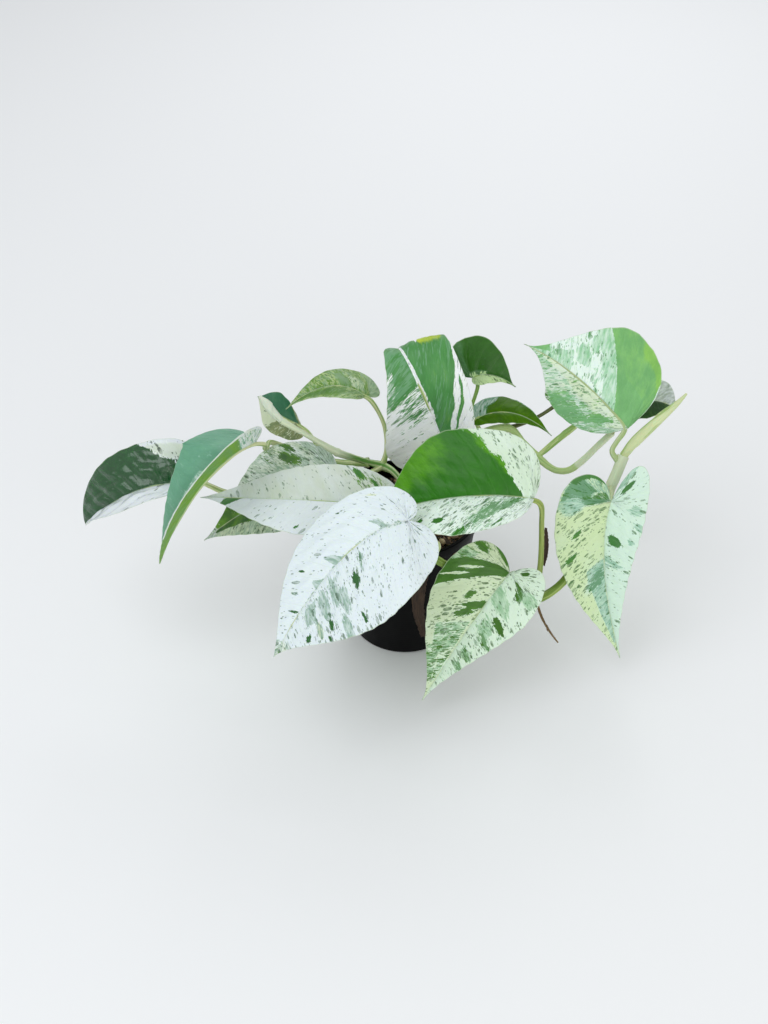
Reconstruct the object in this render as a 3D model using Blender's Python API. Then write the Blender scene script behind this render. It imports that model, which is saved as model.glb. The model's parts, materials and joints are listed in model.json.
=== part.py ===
# A potted marble queen pothos: a black nursery pot of bark mix, five stems that
# trail from it, and seventeen heart-shaped leaves, each one body with its own stalk.
#
# X runs to the right, Y away from the viewer and Z up. The origin is the centre
# of the pot's underside, on the surface that it stands on. The sizes below are
# in millimetres, and the meshes are made in metres.

import math
import random

import bmesh
import bpy
import numpy as np

MM = 0.001

# Pot
POT_HEIGHT = 108.0
POT_BASE_RADIUS = 39.0
POT_RIM_RADIUS = 52.5
POT_WALL = 1.3
POT_FLOOR = 2.0
RIM_BAND_HEIGHT = 9.0
RIM_BAND_DEPTH = 1.4
POT_SEGMENTS = 30
DRAIN_HOLES = 5
DRAIN_RADIUS = 5.0
DRAIN_CIRCLE = 27.0
DRAIN_SIDES = 12
EDGE_CHAMFER = 0.5
FOOT_CHAMFER = 0.9

# Soil
SOIL_TOP = 97.0
SOIL_GAP = 0.35
SOIL_RINGS = 4
SOIL_BUMP = 1.6
CHIP_COUNT = 26
CHIP_LENGTH = (9.0, 18.0)
CHIP_WIDTH = (5.0, 9.0)
CHIP_DEPTH = (2.4, 4.0)
CHIP_TILT = 0.35
CHIP_NARROWING = 0.7
CHIP_SPREAD = 36.0
PEBBLE_COUNT = 9
PEBBLE_RADIUS = (2.6, 4.0)
PEBBLE_FLATNESS = 0.7
LOOSE_LIFT = 0.7
SOIL_SEED = 11
HOLE_CLEARANCE = 0.45

# Leaves and stalks
BLADE_THICKNESS = 0.8
BLADE_COLUMNS = 3
LOBE_ROWS = 4
FLANK_ROWS = 7
WIDEST_AT = 0.31
FLANK_AT = 0.56
NOTCH = 0.3
TIP_DRAW = 0.5
VEIN_SLOPE = 0.6
VEIN_CURVE = 1.2
LOBE_CURVE = (2.0, 1.4)
BASE_CURVE = (0.5, 2.0)
STALK_SIDES = 5
RIB_REACH = 0.72
RIB_END_RADIUS = 0.5
RIB_STOPS = (0.04, 0.2, 0.4, RIB_REACH)
MIDRIB_SAMPLES = 41
HALF_PHASE = 1.4
STALK_STEP = 9.0
STALK_SWELL = 0.12
STEM_SIDES = 8
STEM_STEP = 7.0
SHOOT_STEP = 4.0
ROOT_STEP = 5.0
SHEATH_STEP = 6.0
SEAT_GAP = 0.35
SEAT_REACH = 14.0
SKIN_STEP = 0.4
SKIN_SIDES = 24
SHEATH_HOLLOW = 0.8

# Each leaf: the stalk's end, the middle and the tip of the midrib, the way that
# the upper face looks at the base and at the tip, the half widths to the left
# and right of the midrib as seen along it, the angle that each half rises at
# the midrib and how much it bends on its way to the margin, how far the lobes
# reach back, and the waves of the margin. A lobe below nought is a base that runs
# forward instead, and the side veins of that half are straight. Some give how fine
# the tip is drawn out, how far on the flank stays full, and how wide the notch
# opens. The stalk then runs from the midrib's base to the stem that carries it.
LEAVES = {
    "leaf_far_left": dict(
        base=(-141, -12, 137), mid=(-180, -19, 139), tip=(-223, -13, 102),
        face=(0.1, -0.2, 1.0), half=(24, 33), rise=(30, 38), bend=(-8, -30),
        lobe=(-6, 5), widest=(0.5, 0.31), flank=(0.66, 0.88),
        tip_draw=(0.2, 0.0), wave=(1.2, 1.5, 0.0),
        stalk=[(-142, -5, 133), (-141, 3, 127), (-136, 5, 122), (-127, 2, 119.5),
               (-114, -3, 119)],
        stalk_radius=1.5,
    ),
    "leaf_left_arching": dict(
        base=(-101, -7, 171), mid=(-134, -51, 168), tip=(-172, -29, 80),
        face=(0.0, -0.2, 1.0), tip_face=(-0.7, -0.7, 0.1),
        half=(14, 34), rise=(88, 14), bend=(-16, -32), widest=(0.2, 0.3), flank=(0.4, 0.24),
        lobe=(6, 6), tip_draw=(0.3, 0.75), wave=(1.0, 1.5, 1.0),
        stalk=[(-96, 0, 163), (-97, 12, 150), (-97, 25, 140), (-96, 37.3, 135.3),
               (-89, 44.5, 127), (-76, 48, 117), (-60, 47, 112), (-43, 44, 111), (-26, 40, 115)],
        stalk_radius=1.4,
    ),
    "leaf_left_small": dict(
        base=(-74, 49, 142), mid=(-92, 51, 152), tip=(-105, 60, 159),
        face=(0.0, -0.3, 1.0), half=(16, 13.5), rise=(-56, 26), bend=(-6, -10),
        lobe=(5, -7), widest=(0.42, 0.6), flank=(0.7, 0.9), tip_draw=(0.6, 0.3),
        wave=(0.6, 1.0, 0.0),
        stalk=[(-70, 45, 140), (-66, 39, 139), (-63, 31, 140), (-60, 28, 142)],
        stalk_radius=1.1,
    ),
    "leaf_left_low": dict(
        base=(-48, 18, 119), mid=(-93, 2, 115), tip=(-143, -6, 81),
        face=(0.1, -0.3, 1.0), half=(32, 36), rise=(6, 14), bend=(-10, -16),
        lobe=(6, 3), flank=(0.56, 0.5), tip_draw=(0.5, 0.75), wave=(1.2, 1.5, 2.0),
        stalk=[(-43, 19, 117), (-34, 26, 113), (-24, 35, 110), (-16, 42, 110)],
        stalk_radius=1.5,
    ),
    "leaf_back_left": dict(
        base=(-28, 51, 166), mid=(-54, 50, 175), tip=(-84, 44, 160),
        face=(0.0, -0.2, 1.0), half=(20, 22), rise=(28, 4), bend=(-10, -30),
        lobe=(-4, 9), widest=(0.31, 0.22), flank=(0.48, 0.42), tip_draw=(0.5, 0.75), wave=(0.8, 1.5, 0.5),
        stalk=[(-23, 51, 160), (-15, 52, 140), (-13, 48, 122), (-16, 42, 110)],
        stalk_radius=1.4,
    ),
    "leaf_left_folded": dict(
        base=(-11, -28, 133), mid=(-70, -32, 141), tip=(-143, -2, 118),
        face=(0.0, -0.2, 1.0), half=(32, 30), rise=(10, 14), bend=(-10, -14),
        lobe=(9, 9), tip_draw=0.6, wave=(1.2, 1.5, 0.0),
        stalk=[(-5, -26, 130), (3, -20, 118), (5, 0, 104)], stalk_radius=1.6,
    ),
    "leaf_front_white": dict(
        base=(0, -78, 163), mid=(-42, -97, 147), tip=(-87, -118, 80),
        face=(-0.1, -0.5, 0.9), half=(50, 32), rise=(8, 8), bend=(-16, -20),
        lobe=(14, 9), notch=0.1, flank=(0.68, 0.58), wave=(1.5, 1.5, 0.0),
        stalk=[(8, -79, 155), (16, -76, 145), (20, -72, 136), (18, -64, 122), (14, -55, 113)],
        stalk_radius=1.6,
    ),
    "leaf_centre": dict(
        base=(82, -53, 160), mid=(36, -51, 160), tip=(-15, -41, 138),
        face=(0.0, -0.15, 1.0), half=(36, 46), rise=(15, 42), bend=(-14, -20),
        lobe=(-6, 3), widest=(0.46, 0.44), flank=(0.7, 0.72), tip_draw=(0.5, 0.25),
        wave=(1.4, 1.5, 0.0),
        stalk=[(87, -52, 154), (90, -46, 130), (92, -44, 95), (91, -45, 61)],
        stalk_radius=1.6,
    ),
    "leaf_front_heart": dict(
        base=(69, -64, 104), mid=(44, -84, 77), tip=(11, -103, 20),
        face=(-0.1, -0.8, 0.6), half=(30, 38), rise=(18, 18), bend=(-20, -20),
        lobe=(12, 6), notch=0.36, widest=(0.16, 0.2), flank=(0.36, 0.5), tip_draw=0.7, wave=(1.2, 1.5, 0.0),
        stalk=[(75, -60, 100), (80, -53, 84), (78, -48, 67)], stalk_radius=1.5,
    ),
    "leaf_right_hanging": dict(
        base=(139, -22, 131), mid=(137, -42, 85), tip=(153, -60, 16),
        face=(0.0, -1.0, 0.3), half=(25, 37), rise=(20, 20), bend=(-20, -20),
        lobe=(23, 12), tip_draw=0.7, widest=0.06, flank=(0.34, 0.46), wave=(1.2, 1.5, 0.0),
        stalk=[(139, -18, 132), (140, -11, 131), (141, -2.5, 127)], stalk_radius=1.5,
    ),
    "leaf_right_top": dict(
        base=(152, 19, 162), mid=(118, 48, 185), tip=(82, 65, 200),
        face=(0.1, -0.8, 0.7), half=(36, 51), rise=(-46, 6), bend=(-10, -10),
        lobe=(-7, -1), tip_draw=0.75, widest=(0.46, 0.42), flank=(0.72, 0.6), wave=(1.2, 1.5, 0.0),
        stalk=[(150, 20, 158), (145, 16, 152), (142, 11, 147.5), (148, 7, 140.5)],
        stalk_radius=1.5,
    ),
    "leaf_upright": dict(
        base=(28, 34, 135), mid=(-1, 50, 200), tip=(-4, 92, 163),
        face=(-0.1, -1.0, 0.2), tip_face=(0.0, 0.4, 1.0),
        half=(42, 33), rise=(4, 24), bend=(-12, -46),
        lobe=(14, 6), widest=(0.04, 0.5), flank=(0.12, 0.75), tip_draw=(0.85, 0.5), wave=(1.2, 1.5, 0.0),
        stalk=[(29, 30, 129), (24, 22, 119), (14, 11, 110), (6, 2, 106)],
        stalk_radius=1.6,
    ),
    "leaf_back_small": dict(
        base=(48, 74, 165), mid=(62, 73, 168), tip=(79, 70, 160),
        face=(0.0, -0.4, 1.0), half=(28, 8), rise=(38, 0), bend=(-10, -10),
        lobe=(8, 1), widest=(0.2, 0.22), flank=(0.34, 0.42), tip_draw=(0.85, 0.75),
        wave=(0.6, 1.0, 0.0),
        stalk=[(52, 71, 160), (48, 66, 146), (42, 54, 134), (38, 39, 124), (37, 32, 111)],
        stalk_radius=1.2,
    ),
    "leaf_back_dark": dict(
        base=(53, 73, 130), mid=(80, 73, 134), tip=(108, 67, 118),
        face=(0.0, -0.3, 1.0), half=(16, 9), rise=(0, 4), bend=(-20, -20),
        lobe=(4, 4), tip_draw=0.7, wave=(0.8, 1.5, 0.0),
        stalk=[(52, 72, 128), (56, 66, 121)], stalk_radius=1.2,
    ),
    "leaf_back_hidden": dict(
        base=(114, 84, 137), mid=(126, 92, 140), tip=(140, 102, 132),
        face=(0.0, -0.3, 1.0), half=(17, 17), rise=(15, 15), bend=(-20, -20),
        lobe=(5, 5), wave=(0.8, 1.5, 0.0),
        stalk=[(111, 83, 134), (100, 80, 127), (88, 76, 123), (76, 71, 122)],
        stalk_radius=1.2,
    ),
    "leaf_back_right": dict(
        base=(156, 58, 150), mid=(174, 62, 154), tip=(194, 64, 146),
        face=(0.0, -0.3, 1.0), half=(19, 14), rise=(15, 0), bend=(-20, -10),
        lobe=(5, 5), widest=(0.6, 0.4), flank=(0.95, 0.6), tip_draw=(0.1, 0.5), wave=(0.8, 1.5, 0.0),
        stalk=[(153, 56, 147), (149, 50, 142), (147, 45, 138)],
        stalk_radius=1.2,
    ),
    "leaf_inner": dict(
        base=(16, -6, 118), mid=(2, -8, 124), tip=(-14, -8, 116),
        face=(-0.1, -0.4, 1.0), half=(13, 14), rise=(10, 20), bend=(-10, -10),
        lobe=(3, 3), wave=(0.4, 1.0, 0.0),
        stalk=[(19, -5, 114), (14, 0, 109), (6, 2, 107)], stalk_radius=1.1,
    ),
}

# Each stem: points with the stem's radius there, from its foot in the soil on.
STEMS = {
    "vine_left": [
        (6, 20, 84, 2.2), (2, 27, 98, 2.3), (-7, 36, 108, 2.4), (-16, 42, 110, 3.1),
        (-26, 40, 115, 2.3), (-36, 35, 123, 2.3), (-48, 29, 133, 2.8),
        (-62, 28, 144, 2.0), (-74, 28, 153, 1.9), (-86, 29, 161, 2.4),
    ],
    "vine_right": [
        (4, -30, 84, 2.4), (5, -36, 98, 2.5), (8, -46, 110.5, 2.7), (14, -55, 113, 3.2),
        (26, -60, 108, 2.7), (44, -56, 92, 2.7), (64, -51, 74, 2.8), (78, -48, 66, 3.0),
        (91, -45, 61, 3.3), (104, -39, 64, 2.9), (114, -33, 73, 2.8), (126, -22, 93, 2.9),
        (135, -11, 112, 3.4), (140, -4, 124, 3.9), (146, 4, 136, 3.9), (150, 10, 145, 4.2),
    ],
    "vine_back": [
        (32, 18, 84, 2.2), (34, 23, 98, 2.2), (37, 32, 111, 2.3), (42, 48, 117, 2.3),
        (56, 66, 121, 2.5), (76, 71, 122, 2.9), (87, 63, 115, 2.2), (97, 55, 108, 2.9),
        (108, 47, 103, 2.4), (118, 43, 105, 2.5), (127, 44, 112, 2.5),
        (138, 45, 126, 2.4), (147, 45, 138, 2.4),
    ],
    "vine_low_left": [
        (-22, -12, 84, 2.2), (-27, -14, 98, 2.2), (-42, -13, 114, 2.3),
        (-68, -12, 124.5, 2.2), (-96, -8, 122, 2.1), (-114, -3, 119, 2.6),
    ],
    "vine_centre": [
        (4, -8, 84, 2.6), (5, -3, 98, 2.8), (6, 2, 106, 3.0), (4, 7, 113, 2.0),
    ],
}

# Each furled new leaf: points along it with its radius there.
SHOOTS = {
    "new_leaf_right": [
        (150, 10, 145, 2.9), (157, 13, 155, 3.6), (166, 14.5, 166, 3.6),
        (175, 17, 175, 3.0), (184, 21, 182, 1.9), (190, 25, 187, 0.7),
    ],
    "new_leaf_left": [
        (-86, 29, 161, 2.2), (-91, 31, 166, 2.9), (-96, 35, 170.5, 3.2), (-101, 39, 174.5, 1.0),
    ],
    "new_leaf_back": [
        (97, 55, 108, 1.9), (111, 62, 118, 2.4), (124, 66, 128, 2.2), (133, 69, 137, 0.8),
    ],
}

# The thin roots: one from a joint of the right stem, one down the pot's side.
ROOTS = {
    "aerial_root": [
        (91, -45, 61, 1.1), (95, -52, 51, 0.9), (101, -58, 42, 0.8), (107, -62, 35, 0.5),
    ],
    "rim_root": [
        (14, -55, 113, 0.6), (9, -54.8, 103, 0.6), (7, -53.8, 93, 0.6),
        (5, -52.8, 85, 0.6), (5, -51.6, 78, 0.5), (2, -51, 72, 0.5),
    ],
}

# The dried sheaths: points with half the width there, and the way across.
SHEATHS = {
    "dry_sheath_pot": dict(
        rows=[(15.5, -54.6, 109.4, 1.0), (15, -54, 103, 1.0), (14.5, -53, 96, 1.2),
              (12, -50.8, 84, 2.6), (9, -49, 70, 4.6), (9, -47.4, 54, 4.4),
              (11, -45.8, 38, 3.4), (13, -43.4, 22, 1.6)],
        across=(1.0, -0.1, 0.0),
    ),
    "dry_sheath_stalk": dict(
        rows=[(93.6, -45.4, 128, 0.8), (94.9, -44.4, 116, 1.5), (95.5, -43.8, 104, 1.6),
              (94.8, -43.6, 92, 0.8)],
        across=(1.0, 0.1, 0.0),
    ),
}

COLOURS = {
    "pot": ((0.012, 0.012, 0.013), 0.42),
    "soil": ((0.10, 0.055, 0.03), 0.9),
    "stem": ((0.25, 0.38, 0.10), 0.5),
    "blade": ((0.42, 0.60, 0.30), 0.4),
    "new_leaf": ((0.66, 0.76, 0.36), 0.45),
    "root": ((0.20, 0.12, 0.06), 0.8),
}


def clear_scene():
    for thing in list(bpy.data.objects):
        bpy.data.objects.remove(thing, do_unlink=True)


def material(name):
    """A plain material in the colour and roughness of one part of the plant."""
    found = bpy.data.materials.get(name)
    if found:
        return found
    colour, roughness = COLOURS[name]
    made = bpy.data.materials.new(name)
    made.use_nodes = True
    shader = made.node_tree.nodes["Principled BSDF"]
    shader.inputs["Base Color"].default_value = (*colour, 1.0)
    shader.inputs["Roughness"].default_value = roughness
    shader.inputs["Metallic"].default_value = 0.0
    made.diffuse_color = (*colour, 1.0)
    return made


def mesh_object(name, points, faces, slot):
    """A smooth-shaded object from points in millimetres."""
    mesh = bpy.data.meshes.new(name)
    mesh.from_pydata([tuple(MM * c for c in p) for p in points], [], faces)
    mesh.materials.append(material(slot))
    mesh.shade_smooth()
    mesh.set_sharp_from_angle(angle=math.radians(40))
    made = bpy.data.objects.new(name, mesh)
    bpy.context.scene.collection.objects.link(made)
    return made


def drop_scraps(mesh):
    """Keeps only the largest body of a mesh."""
    work = bmesh.new()
    work.from_mesh(mesh)
    work.verts.ensure_lookup_table()
    unseen = set(work.verts)
    bodies = []
    while unseen:
        body = {unseen.pop()}
        edge = list(body)
        while edge:
            for link in edge.pop().link_edges:
                for vertex in link.verts:
                    if vertex in unseen:
                        unseen.remove(vertex)
                        body.add(vertex)
                        edge.append(vertex)
        bodies.append(body)
    bodies.sort(key=len)
    for scrap in bodies[:-1]:
        bmesh.ops.delete(work, geom=list(scrap), context="VERTS")
    work.to_mesh(mesh)
    work.free()


def combine(target, others, operation, solver="EXACT"):
    """Joins the other objects to the target, or cuts them from it, and removes them."""
    group = bpy.data.collections.new(target.name + "_tools")
    bpy.context.scene.collection.children.link(group)
    for other in others:
        for owner in list(other.users_collection):
            owner.objects.unlink(other)
        group.objects.link(other)
    boolean = target.modifiers.new("combine", "BOOLEAN")
    boolean.operation = operation
    boolean.operand_type = "COLLECTION"
    boolean.collection = group
    boolean.solver = solver
    graph = bpy.context.evaluated_depsgraph_get()
    result = bpy.data.meshes.new_from_object(target.evaluated_get(graph))
    target.modifiers.remove(boolean)
    target.data = result
    drop_scraps(result)
    for other in others:
        bpy.data.objects.remove(other, do_unlink=True)
    bpy.data.collections.remove(group)
    return target


def unit(v):
    return v / np.linalg.norm(v)


def smooth_path(points, step):
    """Points about a step apart on a smooth curve through the given rows of values."""
    rows = np.array(points, float)
    ends = np.vstack([2 * rows[0] - rows[1], rows, 2 * rows[-1] - rows[-2]])
    path = []
    for i in range(1, len(ends) - 2):
        a, b, c, d = ends[i - 1 : i + 3]
        count = max(1, round(np.linalg.norm((c - b)[:3]) / step))
        for k in range(count):
            t = k / count
            path.append(
                0.5 * (2 * b + (c - a) * t + (2 * a - 5 * b + 4 * c - d) * t**2
                       + (3 * b - 3 * c + d - a) * t**3)
            )
    path.append(rows[-1])
    return np.array(path)


def tube(name, rows, sides, slot, extra=0.0):
    """A closed tube along rows of x, y, z and radius, its ends capped."""
    rows = np.array(rows, float)
    centres = rows[:, :3]
    along = np.gradient(centres, axis=0)
    side = unit(np.cross(along[0], (0.31, 0.45, 0.84)))
    points = []
    for centre, radius, direction in zip(centres, rows[:, 3] + extra, along):
        direction = unit(direction)
        side = unit(side - direction * side.dot(direction))
        other = np.cross(direction, side)
        for k in range(sides):
            turn = 2 * math.pi * k / sides
            points.append(centre + radius * (math.cos(turn) * side + math.sin(turn) * other))
    faces = []
    for ring in range(len(rows) - 1):
        for k in range(sides):
            a = ring * sides + k
            b = ring * sides + (k + 1) % sides
            faces.append((a, b, b + sides, a + sides))
    faces.append(tuple(reversed(range(sides))))
    faces.append(tuple(range((len(rows) - 1) * sides, len(rows) * sides)))
    return mesh_object(name, points, faces, slot)


def bezier(a, b, c, d, t):
    return (1 - t) ** 3 * a + 3 * t * (1 - t) ** 2 * b + 3 * t**2 * (1 - t) * c + t**3 * d


def of_half(value, right):
    """The left or right one of a pair, or the one value that both halves share."""
    return value[right] if isinstance(value, tuple) else value


def half_outline(spec, length, right):
    """The margin of one half of a heart-shaped blade, from the notch to the tip."""
    width = spec["half"][right]
    lobe = spec["lobe"][right]
    notch = spec.get("notch", NOTCH) * width
    draw = of_half(spec.get("tip_draw", TIP_DRAW), right)
    flank = of_half(spec.get("flank", FLANK_AT), right) * length
    widest = of_half(spec.get("widest", WIDEST_AT), right) * length
    near, far = LOBE_CURVE if lobe > 0 else BASE_CURVE
    rows = []
    for i in range(1, LOBE_ROWS + 1):
        t = i / LOBE_ROWS
        x = bezier(0, notch, width, width, t)
        y = bezier(0, -near * lobe, -far * lobe, widest, t)
        rows.append((x, y))
    for i in range(1, FLANK_ROWS + 1):
        t = i / FLANK_ROWS
        x = bezier(width, width, (0.45 - 0.6 * draw) * width, 0, t)
        y = bezier(widest, flank, (0.95 - 0.25 * draw) * length, length, t)
        rows.append((x, y))
    return np.array(rows)


def vein_feet(halves, length):
    """Where each side vein leaves the midrib, shared by the two halves of a blade."""
    drop = [half[:, 1] - VEIN_SLOPE * half[:, 0] for half in halves]
    return np.maximum.accumulate(np.clip((drop[0] + drop[1]) / 2, 0.0, length))


class Midrib:
    """The curve of a leaf's midrib, and the frame across it at any distance."""

    def __init__(self, spec):
        self.base, mid, self.tip = (np.array(spec[k], float) for k in ("base", "mid", "tip"))
        self.control = 2 * mid - (self.base + self.tip) / 2
        self.face = np.array(spec["face"], float)
        self.tip_face = np.array(spec.get("tip_face", spec["face"]), float)
        self.shares = np.linspace(0, 1, MIDRIB_SAMPLES)
        samples = np.array([self.point(t) for t in self.shares])
        steps = np.linalg.norm(np.diff(samples, axis=0), axis=1)
        self.distances = np.concatenate([[0], np.cumsum(steps)])
        self.length = self.distances[-1]

    def point(self, t):
        return (1 - t) ** 2 * self.base + 2 * t * (1 - t) * self.control + t**2 * self.tip

    def frame(self, y):
        """The point at distance y, with the directions along, across and up."""
        t = float(np.interp(y, self.distances, self.shares))
        along = unit((1 - t) * (self.control - self.base) + t * (self.tip - self.control))
        face = (1 - t) * self.face + t * self.tip_face
        up = unit(face - along * face.dot(along))
        centre = self.point(t) + along * min(0.0, y)
        return centre, along, np.cross(along, up), up


def blade_point(spec, rib, x, y):
    """Where the flat leaf's point (x, y) comes to lie; x is positive to the right."""
    centre, _, across, up = rib.frame(y)
    right = x > 0
    width = spec["half"][right]
    rise = math.radians(spec["rise"][right])
    bend = math.radians(spec["bend"][right]) or 1e-6
    reach = abs(x) / width
    end = rise + bend * reach
    out = width / bend * (math.sin(end) - math.sin(rise))
    lift = width / bend * (math.cos(rise) - math.cos(end))
    height, count, phase = spec["wave"]
    turn = 2 * math.pi * count * y / rib.length + phase + HALF_PHASE * right
    lift += height * reach**2 * math.sin(turn)
    return centre + (out if right else -out) * across + lift * up


def blade(name, spec, rib):
    """The leaf's blade: both halves as one sheet, made solid."""
    index = {}
    points = []
    triangles = []

    def corner(x, y):
        key = (round(x, 4), round(y, 4))
        if key not in index:
            index[key] = len(points)
            points.append(blade_point(spec, rib, x, y))
        return index[key]

    halves = [half_outline(spec, rib.length, right) for right in (False, True)]
    feet = vein_feet(halves, rib.length)
    for right, half in enumerate(halves):
        sign = 1 if right else -1
        curve = VEIN_CURVE if spec["lobe"][right] > 0 else 1.0
        grid = []
        for (x, y), foot in zip(half, feet):
            row = []
            for k in range(BLADE_COLUMNS + 1):
                v = k / BLADE_COLUMNS
                row.append(corner(sign * v * x, foot + (y - foot) * v**curve))
            grid.append(row)
        for first, second in zip(grid, grid[1:]):
            for k in range(BLADE_COLUMNS):
                square = (first[k], first[k + 1], second[k + 1], second[k])
                for tri in ((square[0], square[1], square[3]), (square[1], square[2], square[3])):
                    if len(set(tri)) == 3:
                        triangles.append(tri if right else tri[::-1])
    return thick_sheet(name, np.array(points), triangles, BLADE_THICKNESS, "blade")


def thick_sheet(name, points, triangles, thickness, slot):
    """A closed solid of even thickness about a sheet of triangles."""
    normals = np.zeros_like(points)
    for a, b, c in triangles:
        area = np.cross(points[b] - points[a], points[c] - points[a])
        for corner in (a, b, c):
            normals[corner] += area
    normals /= np.linalg.norm(normals, axis=1)[:, None]
    count = len(points)
    solid = np.vstack([points + normals * thickness / 2, points - normals * thickness / 2])
    faces = list(triangles)
    faces += [(c + count, b + count, a + count) for a, b, c in triangles]
    edges = {}
    for tri in triangles:
        for a, b in zip(tri, tri[1:] + tri[:1]):
            edges[(a, b)] = edges.get((a, b), 0) + 1
    for a, b in edges:
        if (b, a) not in edges:
            faces.append((b, a, a + count))
            faces.append((b, a + count, b + count))
    return mesh_object(name, solid, faces, slot)


def ring(centre, direction, radius, count):
    """Points evenly round a circle that faces a direction."""
    side = unit(np.cross(direction, (0.31, 0.45, 0.84)))
    other = np.cross(direction, side)
    turns = np.linspace(0, 2 * math.pi, count, endpoint=False)
    return centre + radius * (np.outer(np.cos(turns), side) + np.outer(np.sin(turns), other))


def stem_skin():
    """Points close together all over the stems, to seat on them what they carry."""
    skin = []
    for rows in STEMS.values():
        path = smooth_path(rows, STEM_STEP)
        for a, b in zip(path, path[1:]):
            direction = unit(b[:3] - a[:3])
            count = math.ceil(np.linalg.norm(b[:3] - a[:3]) / SKIN_STEP)
            for t in np.linspace(0, 1, count + 1):
                row = a + (b - a) * t
                skin.append(ring(row[:3], direction, row[3], SKIN_SIDES))
        for radius in np.arange(0.0, b[3], SKIN_STEP):
            skin.append(ring(b[:3], direction, radius, SKIN_SIDES))
    return np.vstack(skin)


def seated(rows, skin):
    """Rows of a tube whose first end, on a stem's axis, is drawn out to rest on its skin."""
    rows = np.array(rows, float)
    start = rows[0, :3].copy()
    away = unit(rows[1, :3] - start)
    near = skin[np.linalg.norm(skin - start, axis=1) < SEAT_REACH]
    rim = np.vstack([
        ring(np.zeros(3), away, share * rows[0, 3], SKIN_SIDES) for share in (0.0, 0.5, 1.0)
    ])
    reach = SEAT_REACH / 2
    while reach > 0:
        ends = start + away * (reach - SKIN_STEP / 4) + rim
        if np.linalg.norm(ends[:, None] - near, axis=2).min() < SEAT_GAP:
            break
        reach -= SKIN_STEP / 4
    rows[0, :3] = start + away * reach
    return rows


def stalk(name, spec, rib, skin):
    """The leaf's stalk from its stem to the blade, and on under the midrib."""
    radius = spec["stalk_radius"]
    rows = [(*p, radius * (1.0 + STALK_SWELL * k)) for k, p in enumerate(spec["stalk"])]
    rows = list(seated(rows[::-1], skin))
    for share in RIB_STOPS:
        centre, _, _, up = rib.frame(share * rib.length)
        thin = radius + (RIB_END_RADIUS - radius) * share / RIB_REACH
        rows.append((*(centre - up * (thin + 0.1)), thin))
    return tube(name, smooth_path(rows, STALK_STEP), STALK_SIDES, "blade")


def leaf(name, spec, skin):
    rib = Midrib(spec)
    made = blade(name, spec, rib)
    return combine(made, [stalk(name + "_stalk", spec, rib, skin)], "UNION", "MANIFOLD")


def sheath(name, spec):
    """A dried sheath: a thin papery strip, a little hollowed along its middle."""
    across = unit(np.array(spec["across"], float))
    points = []
    for row in smooth_path(spec["rows"], SHEATH_STEP):
        centre = row[:3]
        outward = unit(np.array([centre[0] * 0.1, centre[1], 0.0]))
        for side in (-1, 0, 1):
            points.append(centre + across * side * row[3] + outward * SHEATH_HOLLOW * side**2)
    triangles = []
    for k in range(0, len(points) - 3, 3):
        for a in (k, k + 1):
            triangles.append((a, a + 1, a + 4))
            triangles.append((a, a + 4, a + 3))
    return thick_sheet(name, np.array(points), triangles, BLADE_THICKNESS, "root")


def stem(name, rows):
    return tube(name, smooth_path(rows, STEM_STEP), STEM_SIDES, "stem")


def stem_hole(name, rows):
    """The room that a stem takes, a little wider and deeper than the stem itself."""
    path = smooth_path(rows, STEM_STEP)
    foot = path[0].copy()
    foot[:3] -= SOIL_GAP * unit(path[1, :3] - path[0, :3])
    return tube(name, [foot, *path], STEM_SIDES, "soil", extra=HOLE_CLEARANCE)


def inner_radius(z):
    """The radius of the pot's inner wall at a height."""
    share = z / POT_HEIGHT
    return POT_BASE_RADIUS + (POT_RIM_RADIUS - RIM_BAND_DEPTH - POT_BASE_RADIUS) * share - POT_WALL


def lathe(name, profile, slot):
    """A closed solid turned about the Z axis from radius and height pairs."""
    points = []
    rings = []
    for radius, z in profile:
        if radius == 0:
            rings.append([len(points)] * POT_SEGMENTS)
            points.append((0, 0, z))
            continue
        rings.append(range(len(points), len(points) + POT_SEGMENTS))
        for k in range(POT_SEGMENTS):
            turn = 2 * math.pi * k / POT_SEGMENTS
            points.append((radius * math.cos(turn), radius * math.sin(turn), z))
    faces = []
    for low, high in zip(rings, rings[1:]):
        for k in range(POT_SEGMENTS):
            n = (k + 1) % POT_SEGMENTS
            face = [low[k], low[n], high[n], high[k]]
            faces.append(tuple(dict.fromkeys(face)))
    return mesh_object(name, points, faces, slot)


def pot():
    band = POT_HEIGHT - RIM_BAND_HEIGHT
    wall = inner_radius(band) + POT_WALL
    profile = [
        (0, 0), (POT_BASE_RADIUS - FOOT_CHAMFER, 0), (POT_BASE_RADIUS, FOOT_CHAMFER),
        (wall, band), (wall + RIM_BAND_DEPTH, band + FOOT_CHAMFER),
        (POT_RIM_RADIUS, POT_HEIGHT - EDGE_CHAMFER), (POT_RIM_RADIUS - EDGE_CHAMFER, POT_HEIGHT),
        (inner_radius(POT_HEIGHT) + EDGE_CHAMFER, POT_HEIGHT),
        (inner_radius(POT_HEIGHT), POT_HEIGHT - EDGE_CHAMFER),
        (inner_radius(POT_FLOOR), POT_FLOOR), (0, POT_FLOOR),
    ]
    made = lathe("pot", profile, "pot")
    drills = []
    for k in range(DRAIN_HOLES):
        turn = 2 * math.pi * k / DRAIN_HOLES
        centre = (DRAIN_CIRCLE * math.cos(turn), DRAIN_CIRCLE * math.sin(turn))
        rows = [(*centre, z, DRAIN_RADIUS) for z in (-POT_FLOOR, 2 * POT_FLOOR)]
        drills.append(tube("drill_%d" % k, rows, DRAIN_SIDES, "pot"))
    return combine(made, drills, "DIFFERENCE")


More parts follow.
